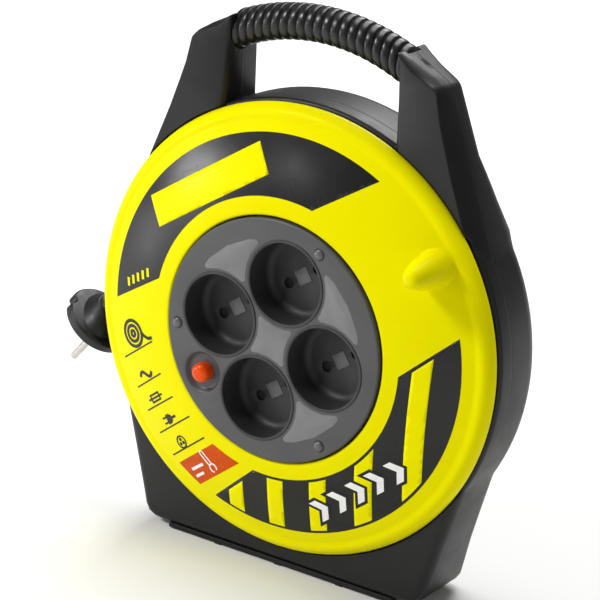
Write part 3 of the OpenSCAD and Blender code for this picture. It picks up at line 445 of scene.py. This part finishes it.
def first_point(name, at):
    """A piece of one vertex at a place: a small plane, merged to its middle and moved there."""
    clear_bench()
    bpy.ops.mesh.primitive_plane_add(size=SEED, location=(0, 0, 0))
    piece = bpy.context.object
    piece.name = piece.data.name = name
    bpy.ops.object.mode_set(mode="EDIT")
    bpy.ops.mesh.select_all(action="SELECT")
    bpy.ops.mesh.merge(type="CENTER")
    bpy.ops.transform.translate(value=at)
    return piece


def draw_line(points):
    for a, b in zip(points, points[1:]):
        bpy.ops.mesh.extrude_vertices_move(TRANSFORM_OT_translate={"value": b - a})


def turned(name, profile, centre=(0, 0), steps=160, degrees=32):
    """Spins a closed line of (radius, height) points round an axis parallel to the drum's."""
    cx, cy = centre
    if profile[0][0] or profile[-1][0]:  # a line that doesn't end on the axis is closed
        profile = profile + profile[:1]
    points = [on_axis(cx + r, cy, h) for r, h in profile]
    piece = first_point(name, points[0])
    draw_line(points)
    bpy.ops.mesh.select_all(action="SELECT")
    bpy.ops.mesh.spin(steps=steps, angle=2 * math.pi, center=on_axis(cx, cy, 0),
                      axis=(0, -1, 0))
    tidy_mesh()
    return smooth(piece, degrees)


# %% Lines of the wheel's face and rim
WHEEL_R, HUB_R, WHEEL_TOP, WHEEL_LOW = 111.8, 60.9, 38, 20
BEAD_WIDTH = 8.3
BEAD_R = WHEEL_R - BEAD_WIDTH  # where the dished face meets the raised rim
FACE_START = HUB_R + 1.1
FACE_SLOPE, FACE_BOW = 0.15, 360


def face_h(r):
    """Height of the dished face at a distance from the drum axis."""
    d = r - FACE_START
    return WHEEL_TOP - FACE_SLOPE * d - d * d / FACE_BOW


rim_h = face_h(BEAD_R)
inner_edge = [(HUB_R, 37.1), (HUB_R + 0.1, 37.4), (HUB_R + 0.3, 37.7), (HUB_R + 0.6, 37.88),
              (HUB_R + 1, 37.97)]
dished = [(r, face_h(r)) for r in [62.2 + 2 * i for i in range(21)] + [BEAD_R]]
# the bead: distance out from where the face ends, and how far it has fallen there
bead = [(0.4, 0.13), (0.8, 0.23), (1.3, 0.31), (1.9, 0.36), (2.6, 0.4), (3.5, 0.5), (4.6, 0.87),
        (5.5, 1.45), (6.3, 2.15), (7, 2.95), (7.55, 3.8), (7.95, 4.75), (8.2, 5.7)]
rim = [(BEAD_R + out, rim_h - down) for out, down in bead]
rim += [(WHEEL_R, rim_h - 6.6), (WHEEL_R, WHEEL_LOW + 0.3), (WHEEL_R - 0.3, WHEEL_LOW)]
print("the face falls", round(WHEEL_TOP - rim_h, 2), "mm from hub to rim")

# %% Wheel
WHEEL_WALL = 2.7
PANEL_SEAT, HUB_END = (25, 28), -10.5  # ledge under the panel, rear end of the tube
under = [(109.3, WHEEL_LOW), (109.2, rim_h - 8.5), (107, rim_h - 4.9), (103.5, rim_h - 2.8),
         (102.5, rim_h - 2.4), (102.5, 14), (100.1, 14), (100.1, face_h(100.1) - WHEEL_WALL)]
under += [(r, face_h(r) - WHEEL_WALL) for r in (94, 87, 80, 73, 66)]
tube = [(63.5, 33), (63.5, HUB_END), (HUB_R, HUB_END), (HUB_R, PANEL_SEAT[0]),
        (56.5, PANEL_SEAT[0]), (56.5, PANEL_SEAT[1]), (HUB_R, PANEL_SEAT[1])]
wheel = turned("wheel_skin", inner_edge + dished + rim + under + tube, steps=240)
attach(wheel, "drum")
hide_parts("wheel")
paint(wheel, yellow_finish)
print("wheel faces:", len(wheel.data.polygons))

# %% [markdown]
# ## The finger knob
# A blunt hollow cone on the wheel, moulded in one with it, for turning the drum with one
# finger. Its foot runs into the wheel in a soft fillet. A Boolean union would need a fillet
# on a curved seam afterwards. So the knob is turned on its own axis with a flared foot, and
# each point of the flare is lifted by the wheel's own height there. The edge of the flare
# then lies just inside the wheel, and no seam shows.

# %% Helpers: the wheel's surface


def wheel_h(r):
    """Height of the wheel's surface at a distance from the drum axis."""
    line = dished + rim
    for (r0, h0), (r1, h1) in zip(line, line[1:]):
        if r <= r1:
            return h0 + (h1 - h0) * max(0, r - r0) / (r1 - r0)
    return line[-1][1]


def radius_at(point):
    return math.hypot(point.x * 1000, point.z * 1000 - AXIS_Z)


# %% Knob
KNOB_OUT, KNOB_ANGLE, KNOB_TIP = 96.5, 34, 53.2
FLARE_LOW = 10  # the flare is drawn this far below height 0, to tell its points apart
# distance from the knob's own axis, and how far the cone has fallen from its tip there
cone = [(0, 0), (1.2, 0.03), (2.4, 0.3), (3.5, 1), (4.5, 2.3), (5.3, 4), (6.1, 6.6), (6.8, 9),
        (7.5, 12), (8, 14.6), (8.3, 17)]
# the flared foot: distance from the knob's own axis, and height above the wheel under it
flare = [(8.4, 1.6), (8.52, 1), (8.75, 0.55), (9.1, 0.2), (9.6, -0.05), (10.2, -0.25),
         (10.2, -1.6), (0, -1.6)]
knob_line = [(r, KNOB_TIP - down) for r, down in cone]
knob_line += [(r, height - FLARE_LOW) for r, height in flare]
knob = turned("finger_knob", knob_line, centre=polar(KNOB_OUT, KNOB_ANGLE), steps=96)
for v in knob.data.vertices:
    if v.co.y > 0:  # below height 0, so a point of the flare
        v.co.y = v.co.y - (wheel_h(radius_at(v.co)) + FLARE_LOW) / 1000
smooth(knob, 60)
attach(knob, "drum")
paint(knob, yellow_finish)
print("knob stands", round(KNOB_TIP - wheel_h(KNOB_OUT), 1), "mm above the wheel")

# %% [markdown]
# ## The printed label
# The wheel carries a ring of printed vinyl film with a black crescent at the upper left, a
# crescent of black and yellow hazard stripes at the lower right, and a column of marks on
# the left. A pattern in the wheel's material could draw them too, but real film has an edge
# and its own gloss. So film is a thin ring, turned with the same section as the wheel and a
# few hundredths of a millimetre above it. Each printed shape is cut from such a ring along
# straight lines with bisect, as with a knife and a ruler. Names and ratings are left off:
# plain pictograms and chevrons stand in their places.

# %% Helpers: a film ring, a straight cut, film stuck on the drum
FILM = 0.05  # thickness of a printed layer, mm
# heights of the layers above the wheel, from the first print to the last, mm
BASE_LIFT, RULE_LIFT, BADGE_LIFT, MARK_LIFT = 0.08, 0.09, 0.09, 0.13
BADGE_MARK_LIFT, SHADOW_LIFT, CHEVRON_LIFT = 0.15, 0.19, 0.25


def film_ring(name, r0, r1, lift, rows=12):
    radii = [r0 + (r1 - r0) * i / rows for i in range(rows + 1)]
    over = [(r, wheel_h(r) + lift) for r in radii]
    below = [(r, wheel_h(r) + lift - FILM) for r in reversed(radii)]
    return turned(name, over + below, steps=240, degrees=50)


def cut(piece, *lines):
    """Cuts along each line from a to b and keeps what lies on its left."""
    take(piece)
    bpy.ops.object.mode_set(mode="EDIT")
    for a, b in lines:
        way = on_axis(*b, 0) - on_axis(*a, 0)
        bpy.ops.mesh.select_all(action="SELECT")
        bpy.ops.mesh.bisect(plane_co=on_axis(*a, 0), plane_no=way.cross(Vector((0, -1, 0))),
                            use_fill=True, clear_outer=True, threshold=1e-8)
    bpy.ops.object.mode_set(mode="OBJECT")
    return piece


def stick(piece, material):
    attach(piece, "drum")
    paint(piece, material)
    return piece


# %% Black crescent with its blank yellow field
CUT_UP = ((-98.6, -5.2), (46.2, 87.3))
crescent = stick(cut(film_ring("black_crescent", 69.9, 98.9, BASE_LIFT), CUT_UP), black_print)
corners = [(-80.6, 51.7), (-71.5, 38.8), (-10.5, 79.3), (-19.3, 92.8)]
field = film_ring("blank_field", 70, 98, MARK_LIFT)
cut(field, CUT_UP, *zip(corners, corners[1:] + corners[:1]))
stick(field, yellow_print)
print("crescent faces:", len(crescent.data.polygons), "field:", len(field.data.polygons))

# %% Helpers: a copy with its own mesh, scrap


def copy_of(piece, name):
    twin = piece.copy()
    twin.data = piece.data.copy()
    twin.name = twin.data.name = name
    scene.collection.objects.link(twin)
    return twin


def scrap(tool):
    bpy.data.objects.remove(tool)


# %% Hazard crescent: black film with five yellow bars
CUT_DOWN = ((95.1, 23.2), (-35.3, -94.3))
CUT_BARS = ((96.2, 22.0), (-34.2, -95.5))  # a little further out, so a black line shows
BARS, BAR_START, BAR_WIDTH, BAR_PITCH = 5, -23.2, 9, 23.8
BAR_LEAN, BAR_BASE = 0.045, -80  # sideways shift for each mm above this height
BAR_LOW, BAR_HIGH = -130, 60  # the cuts run past the ring at both ends
stick(cut(film_ring("hazard_crescent", 69.3, 98.3, BASE_LIFT), CUT_DOWN), black_print)
bar_ring = film_ring("bar_ring", 70.7, 97.0, MARK_LIFT)
low_shift, high_shift = [BAR_LEAN * (y - BAR_BASE) for y in (BAR_LOW, BAR_HIGH)]
for i in range(BARS):
    left = BAR_START + BAR_PITCH * i
    right = left + BAR_WIDTH
    bar = copy_of(bar_ring, "hazard_bar_%d" % (i + 1))
    cut(bar, CUT_BARS, ((left + high_shift, BAR_HIGH), (left + low_shift, BAR_LOW)),
        ((right + low_shift, BAR_LOW), (right + high_shift, BAR_HIGH)))
    stick(bar, yellow_print)
    print(bar.name, "faces:", len(bar.data.polygons))
scrap(bar_ring)

# %% [markdown]
# ## Small printed marks
# The marks are plain pictograms: a coil for the cord's length, a wave for mains current, a
# fuse, a plug, a cable's cross-section and a thermometer. Flat plates would sink into the
# curved wheel at one end and stand off it at the other. So a mark is drawn flat as an
# outline, filled, subdivided so that it can bend, laid on the wheel and given the film's
# thickness with a Solidify modifier.

# %% Helpers: a printed shape
DRAWN_AT = 60  # a mark is drawn this high above the drum's middle, then laid on the wheel, mm


def add_modifier(piece, kind, **settings):
    """Adds a modifier with its settings and applies it."""
    take(piece)
    modifier = piece.modifiers.new(kind.lower(), kind)
    for key, value in settings.items():
        setattr(modifier, key, value)
    bpy.ops.object.modifier_apply(modifier=modifier.name)
    return piece


def printed(name, outline, lift, cuts=1):
    points = [on_axis(x, y, DRAWN_AT) for x, y in outline]
    piece = first_point(name, points[0])
    draw_line(points + points[:1])
    bpy.ops.mesh.select_all(action="SELECT")
    bpy.ops.mesh.remove_doubles(threshold=1e-6)
    bpy.ops.mesh.select_all(action="SELECT")
    bpy.ops.mesh.edge_face_add()
    bpy.ops.mesh.quads_convert_to_tris()
    bpy.ops.mesh.subdivide(number_cuts=cuts)
    bpy.ops.object.mode_set(mode="OBJECT")
    for v in piece.data.vertices:
        v.co.y = -(wheel_h(radius_at(v.co)) + lift) / 1000
    return add_modifier(piece, "SOLIDIFY", thickness=FILM / 1000, offset=0)


def joined(name, parts):
    take(parts[0])
    for part in parts[1:]:
        part.select_set(True)
    if len(parts) > 1:
        bpy.ops.object.join()
    parts[0].name = parts[0].data.name = name
    return parts[0]


# %% Helpers: outlines of a stroke and an arc, a mark in its place


def stroke(points, width):
    """Outline of a line of some width through points."""
    one, other = [], []
    for i, (x, y) in enumerate(points):
        (x0, y0), (x1, y1) = points[max(i - 1, 0)], points[min(i + 1, len(points) - 1)]
        length = math.hypot(x1 - x0, y1 - y0)
        nx, ny = (y0 - y1) / length * width / 2, (x1 - x0) / length * width / 2
        one.append((x + nx, y + ny))
        other.append((x - nx, y - ny))
    return one + other[::-1]


def arc(r, a0=0, a1=360, steps=24):
    return [polar(r, a0 + (a1 - a0) * i / steps) for i in range(steps + 1)]


def beside(origin, degrees, points):
    """Points drawn upright, turned and moved to their place on the wheel."""
    c, s = math.cos(math.radians(degrees)), math.sin(math.radians(degrees))
    return [(origin[0] + c * x - s * y, origin[1] + s * x + c * y) for x, y in points]


def mark(name, origin, degrees, outlines, material, lift=MARK_LIFT):
    parts = [printed(name + "_part", beside(origin, degrees, o), lift) for o in outlines]
    return stick(joined(name, parts), material)


# %% Rules between the marks
RULE_WIDTH, RULE_STEPS = 0.75, 8
RULES = [((-92.2, -35.5), (-71.3, -19.7)), ((-82.8, -48.8), (-65.2, -34.9)),
         ((-76, -59.3), (-57.1, -44.8)), ((-68.2, -69.2), (-46.1, -51.9)),
         ((-60.1, -79), (-36.8, -60.6))]
rules = []
for (x0, y0), (x1, y1) in RULES:
    way = [(x0 + (x1 - x0) * k / RULE_STEPS, y0 + (y1 - y0) * k / RULE_STEPS)
           for k in range(RULE_STEPS + 1)]
    rules.append(printed("rule", stroke(way, RULE_WIDTH), RULE_LIFT))
stick(joined("mark_rules", rules), black_print)
print("rules:", len(rules))

# %% Column of marks on the left
LEAN = 37.5  # how far the marks lean, degrees
coil = [stroke(arc(r, a, a + 180), 1.7) for r in (6.6, 4, 1.4) for a in (0, 180)]
coil.append(stroke([(6.2, -1), (7.4, -4), (9.6, -6), (12.4, -6.6)], 1.7))
mark("mark_coil", (-85.4, -20.2), LEAN, coil, black_print)
wave = [(-5 + 0.5 * i, 1.9 * math.sin(math.pi * i / 10)) for i in range(21)]
mark("mark_wave", (-76, -39), LEAN, [stroke(wave, 1.6)], black_print)
fuse = [[(-4, 1.8), (4, 1.8)], [(-4, -1.8), (4, -1.8)], [(-3.5, -2), (-3.5, 2)],
        [(3.5, -2), (3.5, 2)], [(-6, 0), (6, 0)]]
mark("mark_fuse", (-69.6, -49.6), LEAN, [stroke(side, 1) for side in fuse], black_print)
plug_shape = [[(-1, -2.6), (1.6, -2.6), (3.2, -1.3), (3.2, 1.3), (1.6, 2.6), (-1, 2.6)],
              stroke([(-4, 1.4), (-0.9, 1.4)], 1), stroke([(-4, -1.4), (-0.9, -1.4)], 1),
              stroke([(3, 0), (6.4, 0)], 1.3)]
mark("mark_plug", (-61, -58.8), LEAN, plug_shape, black_print)
core = arc(0.95, steps=10)[:-1]
section = [stroke(arc(3.1, a, a + 180), 0.9) for a in (0, 180)]
for x, y in (polar(1.35, a) for a in (90, 210, 330)):
    section.append([(x + px, y + py) for px, py in core])
mark("mark_section", (-52.6, -68.6), LEAN, section, black_print)

# %% Thermometer badge
edge_line = [polar(99.3, a) for a in (-124.4, -121.5, -118.5, -115.5)] + [(-15.4, -67.8)]
edge_line += [polar(69.6, a) for a in (-106, -110, -113.5)] + [(-31.5, -62.3)]
stick(printed("badge", edge_line, BADGE_LIFT, cuts=3), orange_print)
bulb = stroke(arc(2.2, -60, 240, 18), 0.8)
stem = stroke([(1.1, 1.8), (1.1, 9.5), (0.6, 10.5), (-0.6, 10.5), (-1.1, 9.5), (-1.1, 1.8)], 0.8)
mark("badge_thermometer", (-32.3, -76.2), 50, [bulb, stem], white_print, BADGE_MARK_LIFT)
dashes = [stroke([(-5, y), (5 - shorter, y)], 1.5) for y, shorter in ((2.6, 0), (-1.4, 3))]
mark("badge_dashes", (-41.5, -81.5), LEAN, dashes, white_print, BADGE_MARK_LIFT)

# %% Small dashes on the crescent
DASHES = (-8, -4, 0, 4, 8)
slants = [stroke([(x, -2), (x + 1.6, 2)], 1.7) for x in DASHES]
mark("crescent_dashes", (-84, 9.6), 33, slants, yellow_print)
print("dashes:", len(DASHES))

# %% Chevrons on the hazard stripes
CHEVRONS, CHEVRON_PITCH, ROW_START, ROW_LEAN = 5, 12.6, (30.5, -80.2), 38.5
chevron = [(-3.5, 5.5), (0.9, 5.5), (5.3, 0), (0.9, -5.5), (-3.5, -5.5), (0.9, 0)]
shadow = [(-6.6, 7), (1.6, 7), (7.2, 0), (1.6, -7), (-6.6, -7), (-1, 0)]
for i in range(CHEVRONS):
    at = beside(ROW_START, ROW_LEAN, [(CHEVRON_PITCH * i, 0)])[0]
    mark("chevron_shadow_%d" % (i + 1), at, ROW_LEAN, [shadow], black_print, SHADOW_LIFT)
    mark("chevron_%d" % (i + 1), at, ROW_LEAN, [chevron], white_print, CHEVRON_LIFT)
print("chevrons:", CHEVRONS)

# %% [markdown]
# ## The socket panel
# The panel is a disc of dark grey ABS with four round wells. Each well is a cup with a thin
# rounded lip, and light from one side fills only half of it, so the cup's depth and the
# roundness of its floor corner matter most. Insets and extrusions would leave long thin
# faces round four holes. So disc and cup are turned, and the holes in the disc are cut with
# Boolean modifiers, using turned plugs as cutting tools. One cup is made with its two pin
# holes and copied.

# %% Places on the panel
PANEL_TOP, PANEL_TURN = 39.5, -10.9  # its height, mm, and how far the drum is turned, degrees
WELL_AT, WELL_R, WELL_DEPTH = 30.8, 19.75, 15.4
WELL_FLOOR = PANEL_TOP - WELL_DEPTH
WELLS = [polar(WELL_AT, 90 * i + PANEL_TURN) for i in range(4)]
BUTTON_OUT, CAP_OUT = 45.8, 54.4  # distances from the drum axis
BUTTON_AT = polar(BUTTON_OUT, 225 + PANEL_TURN)
CAPS = [polar(CAP_OUT, a + PANEL_TURN) for a in (75.4, 195.4, 315.4)]
PIN_WAY, PIN_OUT = 45 + PANEL_TURN, 9.5  # line through a well's pin holes, half their pitch


def pin_hole(well, s):
    """Centre of a pin hole: s is -1 or 1, for one side of the well's middle or the other."""
    dx, dy = polar(PIN_OUT * s, PIN_WAY)
    return well[0] + dx, well[1] + dy


print("wells at", [(round(x, 1), round(y, 1)) for x, y in WELLS])

# %% Helpers: a cutting tool, a drill
ABOVE = 60  # cutting tools reach up to here, clear of everything, mm


def cut_with(piece, tool):
    add_modifier(piece, "BOOLEAN", operation="DIFFERENCE", solver="EXACT", object=tool)
    scrap(tool)


def drill(piece, at, profile, steps=64):
    """Cuts a turned hole: the profile goes down its wall, from the widest point on top."""
    line = [(0, ABOVE), (profile[0][0], ABOVE)] + profile + [(0, profile[-1][1])]
    cut_with(piece, turned("tool", line, centre=at, steps=steps))


# %% Panel disc
PANEL_R = 60
panel_edge = [(59.2, PANEL_TOP), (59.5, PANEL_TOP - 0.05), (59.75, PANEL_TOP - 0.2),
              (59.93, PANEL_TOP - 0.45), (PANEL_R, PANEL_TOP - 0.8), (PANEL_R, 29)]
panel = turned("panel_disc", [(0, PANEL_TOP)] + panel_edge + [(58, 29), (58, 37), (0, 37)],
               steps=200)
for at in WELLS:
    drill(panel, at, [(20.6, 20)], steps=96)
for at in CAPS:
    drill(panel, at, [(2.9, PANEL_TOP), (2.75, PANEL_TOP - 0.2), (2.7, 38.2)])
dish = [(11.6, ABOVE), (10.7, PANEL_TOP + 0.05), (10.4, PANEL_TOP - 0.06),
        (10.1, PANEL_TOP - 0.3), (9.2, PANEL_TOP - 1.6), (8.9, PANEL_TOP - 1.95),
        (8.4, PANEL_TOP - 2.15), (0, PANEL_TOP - 2.2)]
cut_with(panel, turned("tool", [(0, ABOVE)] + dish, centre=BUTTON_AT, steps=72))
drill(panel, BUTTON_AT, [(4.86, 30)])
tall = max(-v.co.y for v in panel.data.vertices) * 1000
print("panel stands", round(tall, 2), "mm before the drum's middle")
smooth(panel, 28)
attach(panel, "drum")
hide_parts("socket_panel")
paint(panel, panel_finish)
print("panel faces:", len(panel.data.polygons))

# %% Wells: a cup with a lip, two pin holes, four copies
CUP_R, CORNER_R = 21.3, 3.8  # outside of the lip, soft corner between wall and floor
CUP_FLOOR = 2  # thickness
lip = [(CUP_R, PANEL_TOP - 1), (CUP_R, PANEL_TOP + 0.2), (21.24, PANEL_TOP + 0.36),
       (21.1, PANEL_TOP + 0.47), (20.9, PANEL_TOP + 0.5), (20.3, PANEL_TOP + 0.5),
       (20.05, PANEL_TOP + 0.45), (19.87, PANEL_TOP + 0.3), (19.79, PANEL_TOP + 0.05),
       (WELL_R, PANEL_TOP - 0.5)]
corner = [(WELL_R - CORNER_R + CORNER_R * math.cos(math.radians(a)),
           WELL_FLOOR + CORNER_R * (1 - math.sin(math.radians(a)))) for a in range(0, 91, 10)]
# the line starts and ends on the axis, so the cup is closed at its middle
cup_line = [(0, WELL_FLOOR - CUP_FLOOR), (CUP_R, WELL_FLOOR - CUP_FLOOR)] + lip + corner
cup_line.append((0, WELL_FLOOR))
cup = turned("well_1", cup_line, centre=WELLS[0], steps=128)
for s in (-1, 1):
    drill(cup, pin_hole(WELLS[0], s), [(2.9, WELL_FLOOR + 0.01), (2.7, WELL_FLOOR - 0.1),
                                       (2.6, WELL_FLOOR - 0.35), (2.6, 10)], steps=48)
smooth(cup)
# the wells' darker colour is painted shade
paint(cup, painted_shade_well_finish)
for i, at in enumerate(WELLS):
    well = cup if i == 0 else copy_of(cup, "well_%d" % (i + 1))
    away = metres(at[0] - WELLS[0][0], 0, at[1] - WELLS[0][1])
    well.data.transform(Matrix.Translation(away))
    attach(well, "drum")
print("well depth:", round(PANEL_TOP + 0.5 - WELL_FLOOR, 1), "mm")

# %% [markdown]
# ## Pads and shutters
# Between the pin holes of each well sits a square pad of lighter grey, the top of the
# shutter block. It is a cube that is flattened, turned and bevelled, because a sharp-edged
# square would look cut out of paper. Behind each pin hole a thin black leaf stands where the
# real shutter is. Its black is also painted shade: it stands in for the dark depth of the
# hole, so that the holes look dark from any side.

# %% Pads
PAD_SIDE, PAD_THICK, PAD_EDGE = 7.8, 1.05, 0.0003  # mm, mm, m
PAD_DOWN = 0.2  # its middle lies this far below the well's floor, mm
pads = []
for i, at in enumerate(WELLS):
    clear_bench()
    bpy.ops.mesh.primitive_cube_add(size=PAD_SIDE / 1000, location=(0, 0, 0))
    pad = bpy.context.object
    pad.name = pad.data.name = "pad_%d" % (i + 1)
    bpy.ops.object.mode_set(mode="EDIT")
    bpy.ops.mesh.select_all(action="SELECT")
    bpy.ops.transform.resize(value=(1, PAD_THICK / PAD_SIDE, 1))
    # a left turn round Y is minus, but with no window rotate goes the other way: plus
    bpy.ops.transform.rotate(value=math.radians(PIN_WAY), orient_axis="Y",
                             center_override=(0, 0, 0))
    bpy.ops.transform.translate(value=on_axis(*at, WELL_FLOOR - PAD_DOWN))
    bpy.ops.mesh.bevel(offset=PAD_EDGE, segments=3, affect="EDGES")
    bpy.ops.object.mode_set(mode="OBJECT")
    smooth(pad, 40)
    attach(pad, "drum")
    paint(pad, pad_finish)
    pads.append(pad)
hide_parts("well_pads")
for label, mesh in (("pad", pads[0].data), ("solids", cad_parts["well_pads"].data)):
    print(label, "reaches right to", round(max(v.co.x for v in mesh.vertices) * 1000, 2))

# %% Shutters: the black leaf behind each pin hole, painted shade for the hole's depth
LEAF_BACK, LEAF_FACE = WELL_FLOOR - 1.95, WELL_FLOOR - 1.5
leaf_line = [(0, LEAF_BACK), (2.55, LEAF_BACK), (2.58, LEAF_FACE), (0, LEAF_FACE)]
for i, at in enumerate(WELLS):
    for j, s in enumerate((-1, 1)):
        leaf = turned("shutter_%d_%d" % (i + 1, j + 1), leaf_line, centre=pin_hole(at, s),
                      steps=32)
        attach(leaf, "drum")
        # black, as painted shade for the depth of the hole
        paint(leaf, drum_finish)
print("shutters:", 2 * len(WELLS))

# %% [markdown]
# ## Inlays, caps and the button
# The inlays are thin glued-in plates, three curved triangles and a star. Their outline is
# right in the solid, so each keeps it: the mesh is copied, and only its sharp edges are
# rounded with a Bevel modifier. The domed caps and the button are round, so they are turned.

# %% Helper: a cleaned copy of a solid
WELD = 2e-6  # points nearer than this are one, m
FLAT_WITHIN, SHARP_FROM = math.radians(0.2), math.radians(40)


def skin_of(node, name, body, material, round_mm=0, degrees=32):
    """Copies a solid's mesh, merges its loose triangles and, if asked, rounds its edges."""
    piece = bpy.data.objects.new(name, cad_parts[node].data.copy())
    piece.data.name = name
    scene.collection.objects.link(piece)
    take(piece)
    bpy.ops.object.mode_set(mode="EDIT")
    bpy.ops.mesh.customdata_custom_splitnormals_clear()
    bpy.ops.mesh.select_all(action="SELECT")
    bpy.ops.mesh.remove_doubles(threshold=WELD)
    bpy.ops.mesh.select_all(action="SELECT")
    if round_mm:  # flat faces are joined first, so that only real edges are rounded
        bpy.ops.mesh.dissolve_limited(angle_limit=FLAT_WITHIN)
        add_modifier(piece, "BEVEL", width=round_mm / 1000, segments=3, limit_method="ANGLE",
                     angle_limit=SHARP_FROM, use_clamp_overlap=True)
    smooth(piece, degrees)
    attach(piece, body)
    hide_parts(node)
    paint(piece, material)
    return piece


# %% Inlays
inlays = skin_of("panel_inlays", "inlay_plates", "drum", inlay_finish, round_mm=0.12)
print("inlay faces:", len(inlays.data.polygons))

# %% Caps
cap_line = [(0, PANEL_TOP - 1.2), (2.62, PANEL_TOP - 1.2), (2.62, PANEL_TOP + 0.2),
            (2.5, PANEL_TOP + 0.6), (2.2, PANEL_TOP + 0.95), (1.7, PANEL_TOP + 1.22),
            (1.1, PANEL_TOP + 1.4), (0.5, PANEL_TOP + 1.48), (0, PANEL_TOP + 1.5)]
caps = [turned("cap_%d" % (i + 1), cap_line, centre=at, steps=48, degrees=60)
        for i, at in enumerate(CAPS)]
for cap in caps:
    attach(cap, "drum")
    paint(cap, cap_finish)
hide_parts("screw_caps")
print("caps:", len(caps))

# %% Button
STEM_R, BUTTON_R = 2.2, 4.8
dome = [(BUTTON_R, 1.2), (4.72, 1.9), (4.5, 2.5), (4.1, 3.05), (3.5, 3.5), (2.7, 3.8),
        (1.8, 3.95), (0.9, 4), (0, 4)]  # radius, and height above the panel
button_line = [(0, 24.5), (STEM_R, 24.5), (STEM_R, 34), (BUTTON_R, 34)]
button_line += [(r, PANEL_TOP + height) for r, height in dome]
button = turned("button_cap", button_line, centre=BUTTON_AT, steps=64, degrees=50)
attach(button, "button")
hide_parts("reset_button")
paint(button, button_finish)
print("button stands", dome[-1][1], "mm above the panel")

# %% [markdown]
# ## The grip
# A sleeve of soft PVC with 21 rounded ribs is pushed over the bar between the posts before
# the case is closed. Separate rings would show seams in the grooves. So its cross-section
# line is drawn once, with all its ribs, spun round a straight axis and then bent: each point
# is moved to its place on the arch. The ribs fan out, so that both end faces stand upright
# where they meet the posts.

# %% Line of the ribs
RIBS, GRIP_R, GROOVE_R, BORE_R = 21, 8.9, 7.85, 6.75
# one rib: share of the rib's pitch, and radius
rib = [(0, GROOVE_R), (0.05, GROOVE_R + 0.12), (0.1, 8.4), (0.17, 8.68), (0.27, 8.83),
       (0.4, GRIP_R), (0.6, GRIP_R), (0.74, 8.83), (0.84, 8.68), (0.91, 8.4),
       (0.95, GROOVE_R + 0.12)]
outside = [(-1 + 2 * (i + share) / RIBS, r) for i in range(RIBS) for share, r in rib]
outside.append((1, GROOVE_R))
bore = [(1 - 2 * i / RIBS, BORE_R) for i in range(RIBS + 1)]
print("points in the line:", len(outside + bore))

# %% Grip sleeve
ARCH_R, SLEEVE_END, ARCH_DEPTH = 110, 48, 10
BAR_X, BAR_Y = 46.2, 138.4  # a point that the arch's middle line goes through
ARCH_LOW = BAR_Y - math.sqrt(ARCH_R ** 2 - BAR_X ** 2)
points = [Vector((t, 0, r / 1000)) for t, r in outside + bore]
grip = first_point("ribbed_grip", points[0])
draw_line(points + points[:1])
bpy.ops.mesh.select_all(action="SELECT")
bpy.ops.mesh.spin(steps=48, angle=2 * math.pi, center=(0, 0, 0), axis=(1, 0, 0))
tidy_mesh()
bpy.ops.object.mode_set(mode="OBJECT")
for v in grip.data.vertices:
    out, across = v.co.z * 1000, v.co.y * 1000
    reach = ARCH_R + out
    a = math.asin(SLEEVE_END / reach) * v.co.x
    v.co = on_axis(reach * math.sin(a), ARCH_LOW + reach * math.cos(a), ARCH_DEPTH - across)
bpy.ops.object.mode_set(mode="EDIT")
tidy_mesh(merge=1e-7)
smooth(grip, 50)
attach(grip, "case")
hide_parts("grip_sleeve")
paint(grip, grip_finish)
print("grip faces:", len(grip.data.polygons))

# %% [markdown]
# ## The case and the plug
# Two moulded half shells of black polypropylene meet in a plane behind the wheel. Their
# forms change all the way up the posts, and the solids have them already, so modelling them
# again would only lose exactness. Each is copied, its loose triangles are merged and its
# curved faces are shaded smooth, while real creases stay sharp. The plug's body also gets
# its edges rounded, as soft PVC comes out of the mould.

# %% Case halves, plug, sleeve and pins
front = skin_of("front_shell", "case_front", "case", case_finish)
rear = skin_of("rear_shell", "case_rear", "case", case_finish)
plug = skin_of("plug_body", "plug_moulding", "case", plug_finish, round_mm=0.3)
sleeve = skin_of("plug_sleeve", "plug_bend_relief", "case", plug_finish, degrees=40)
pins = skin_of("plug_pins", "plug_pin_pair", "case", nickel_finish, degrees=40)
print("case faces:", len(front.data.polygons), len(rear.data.polygons))
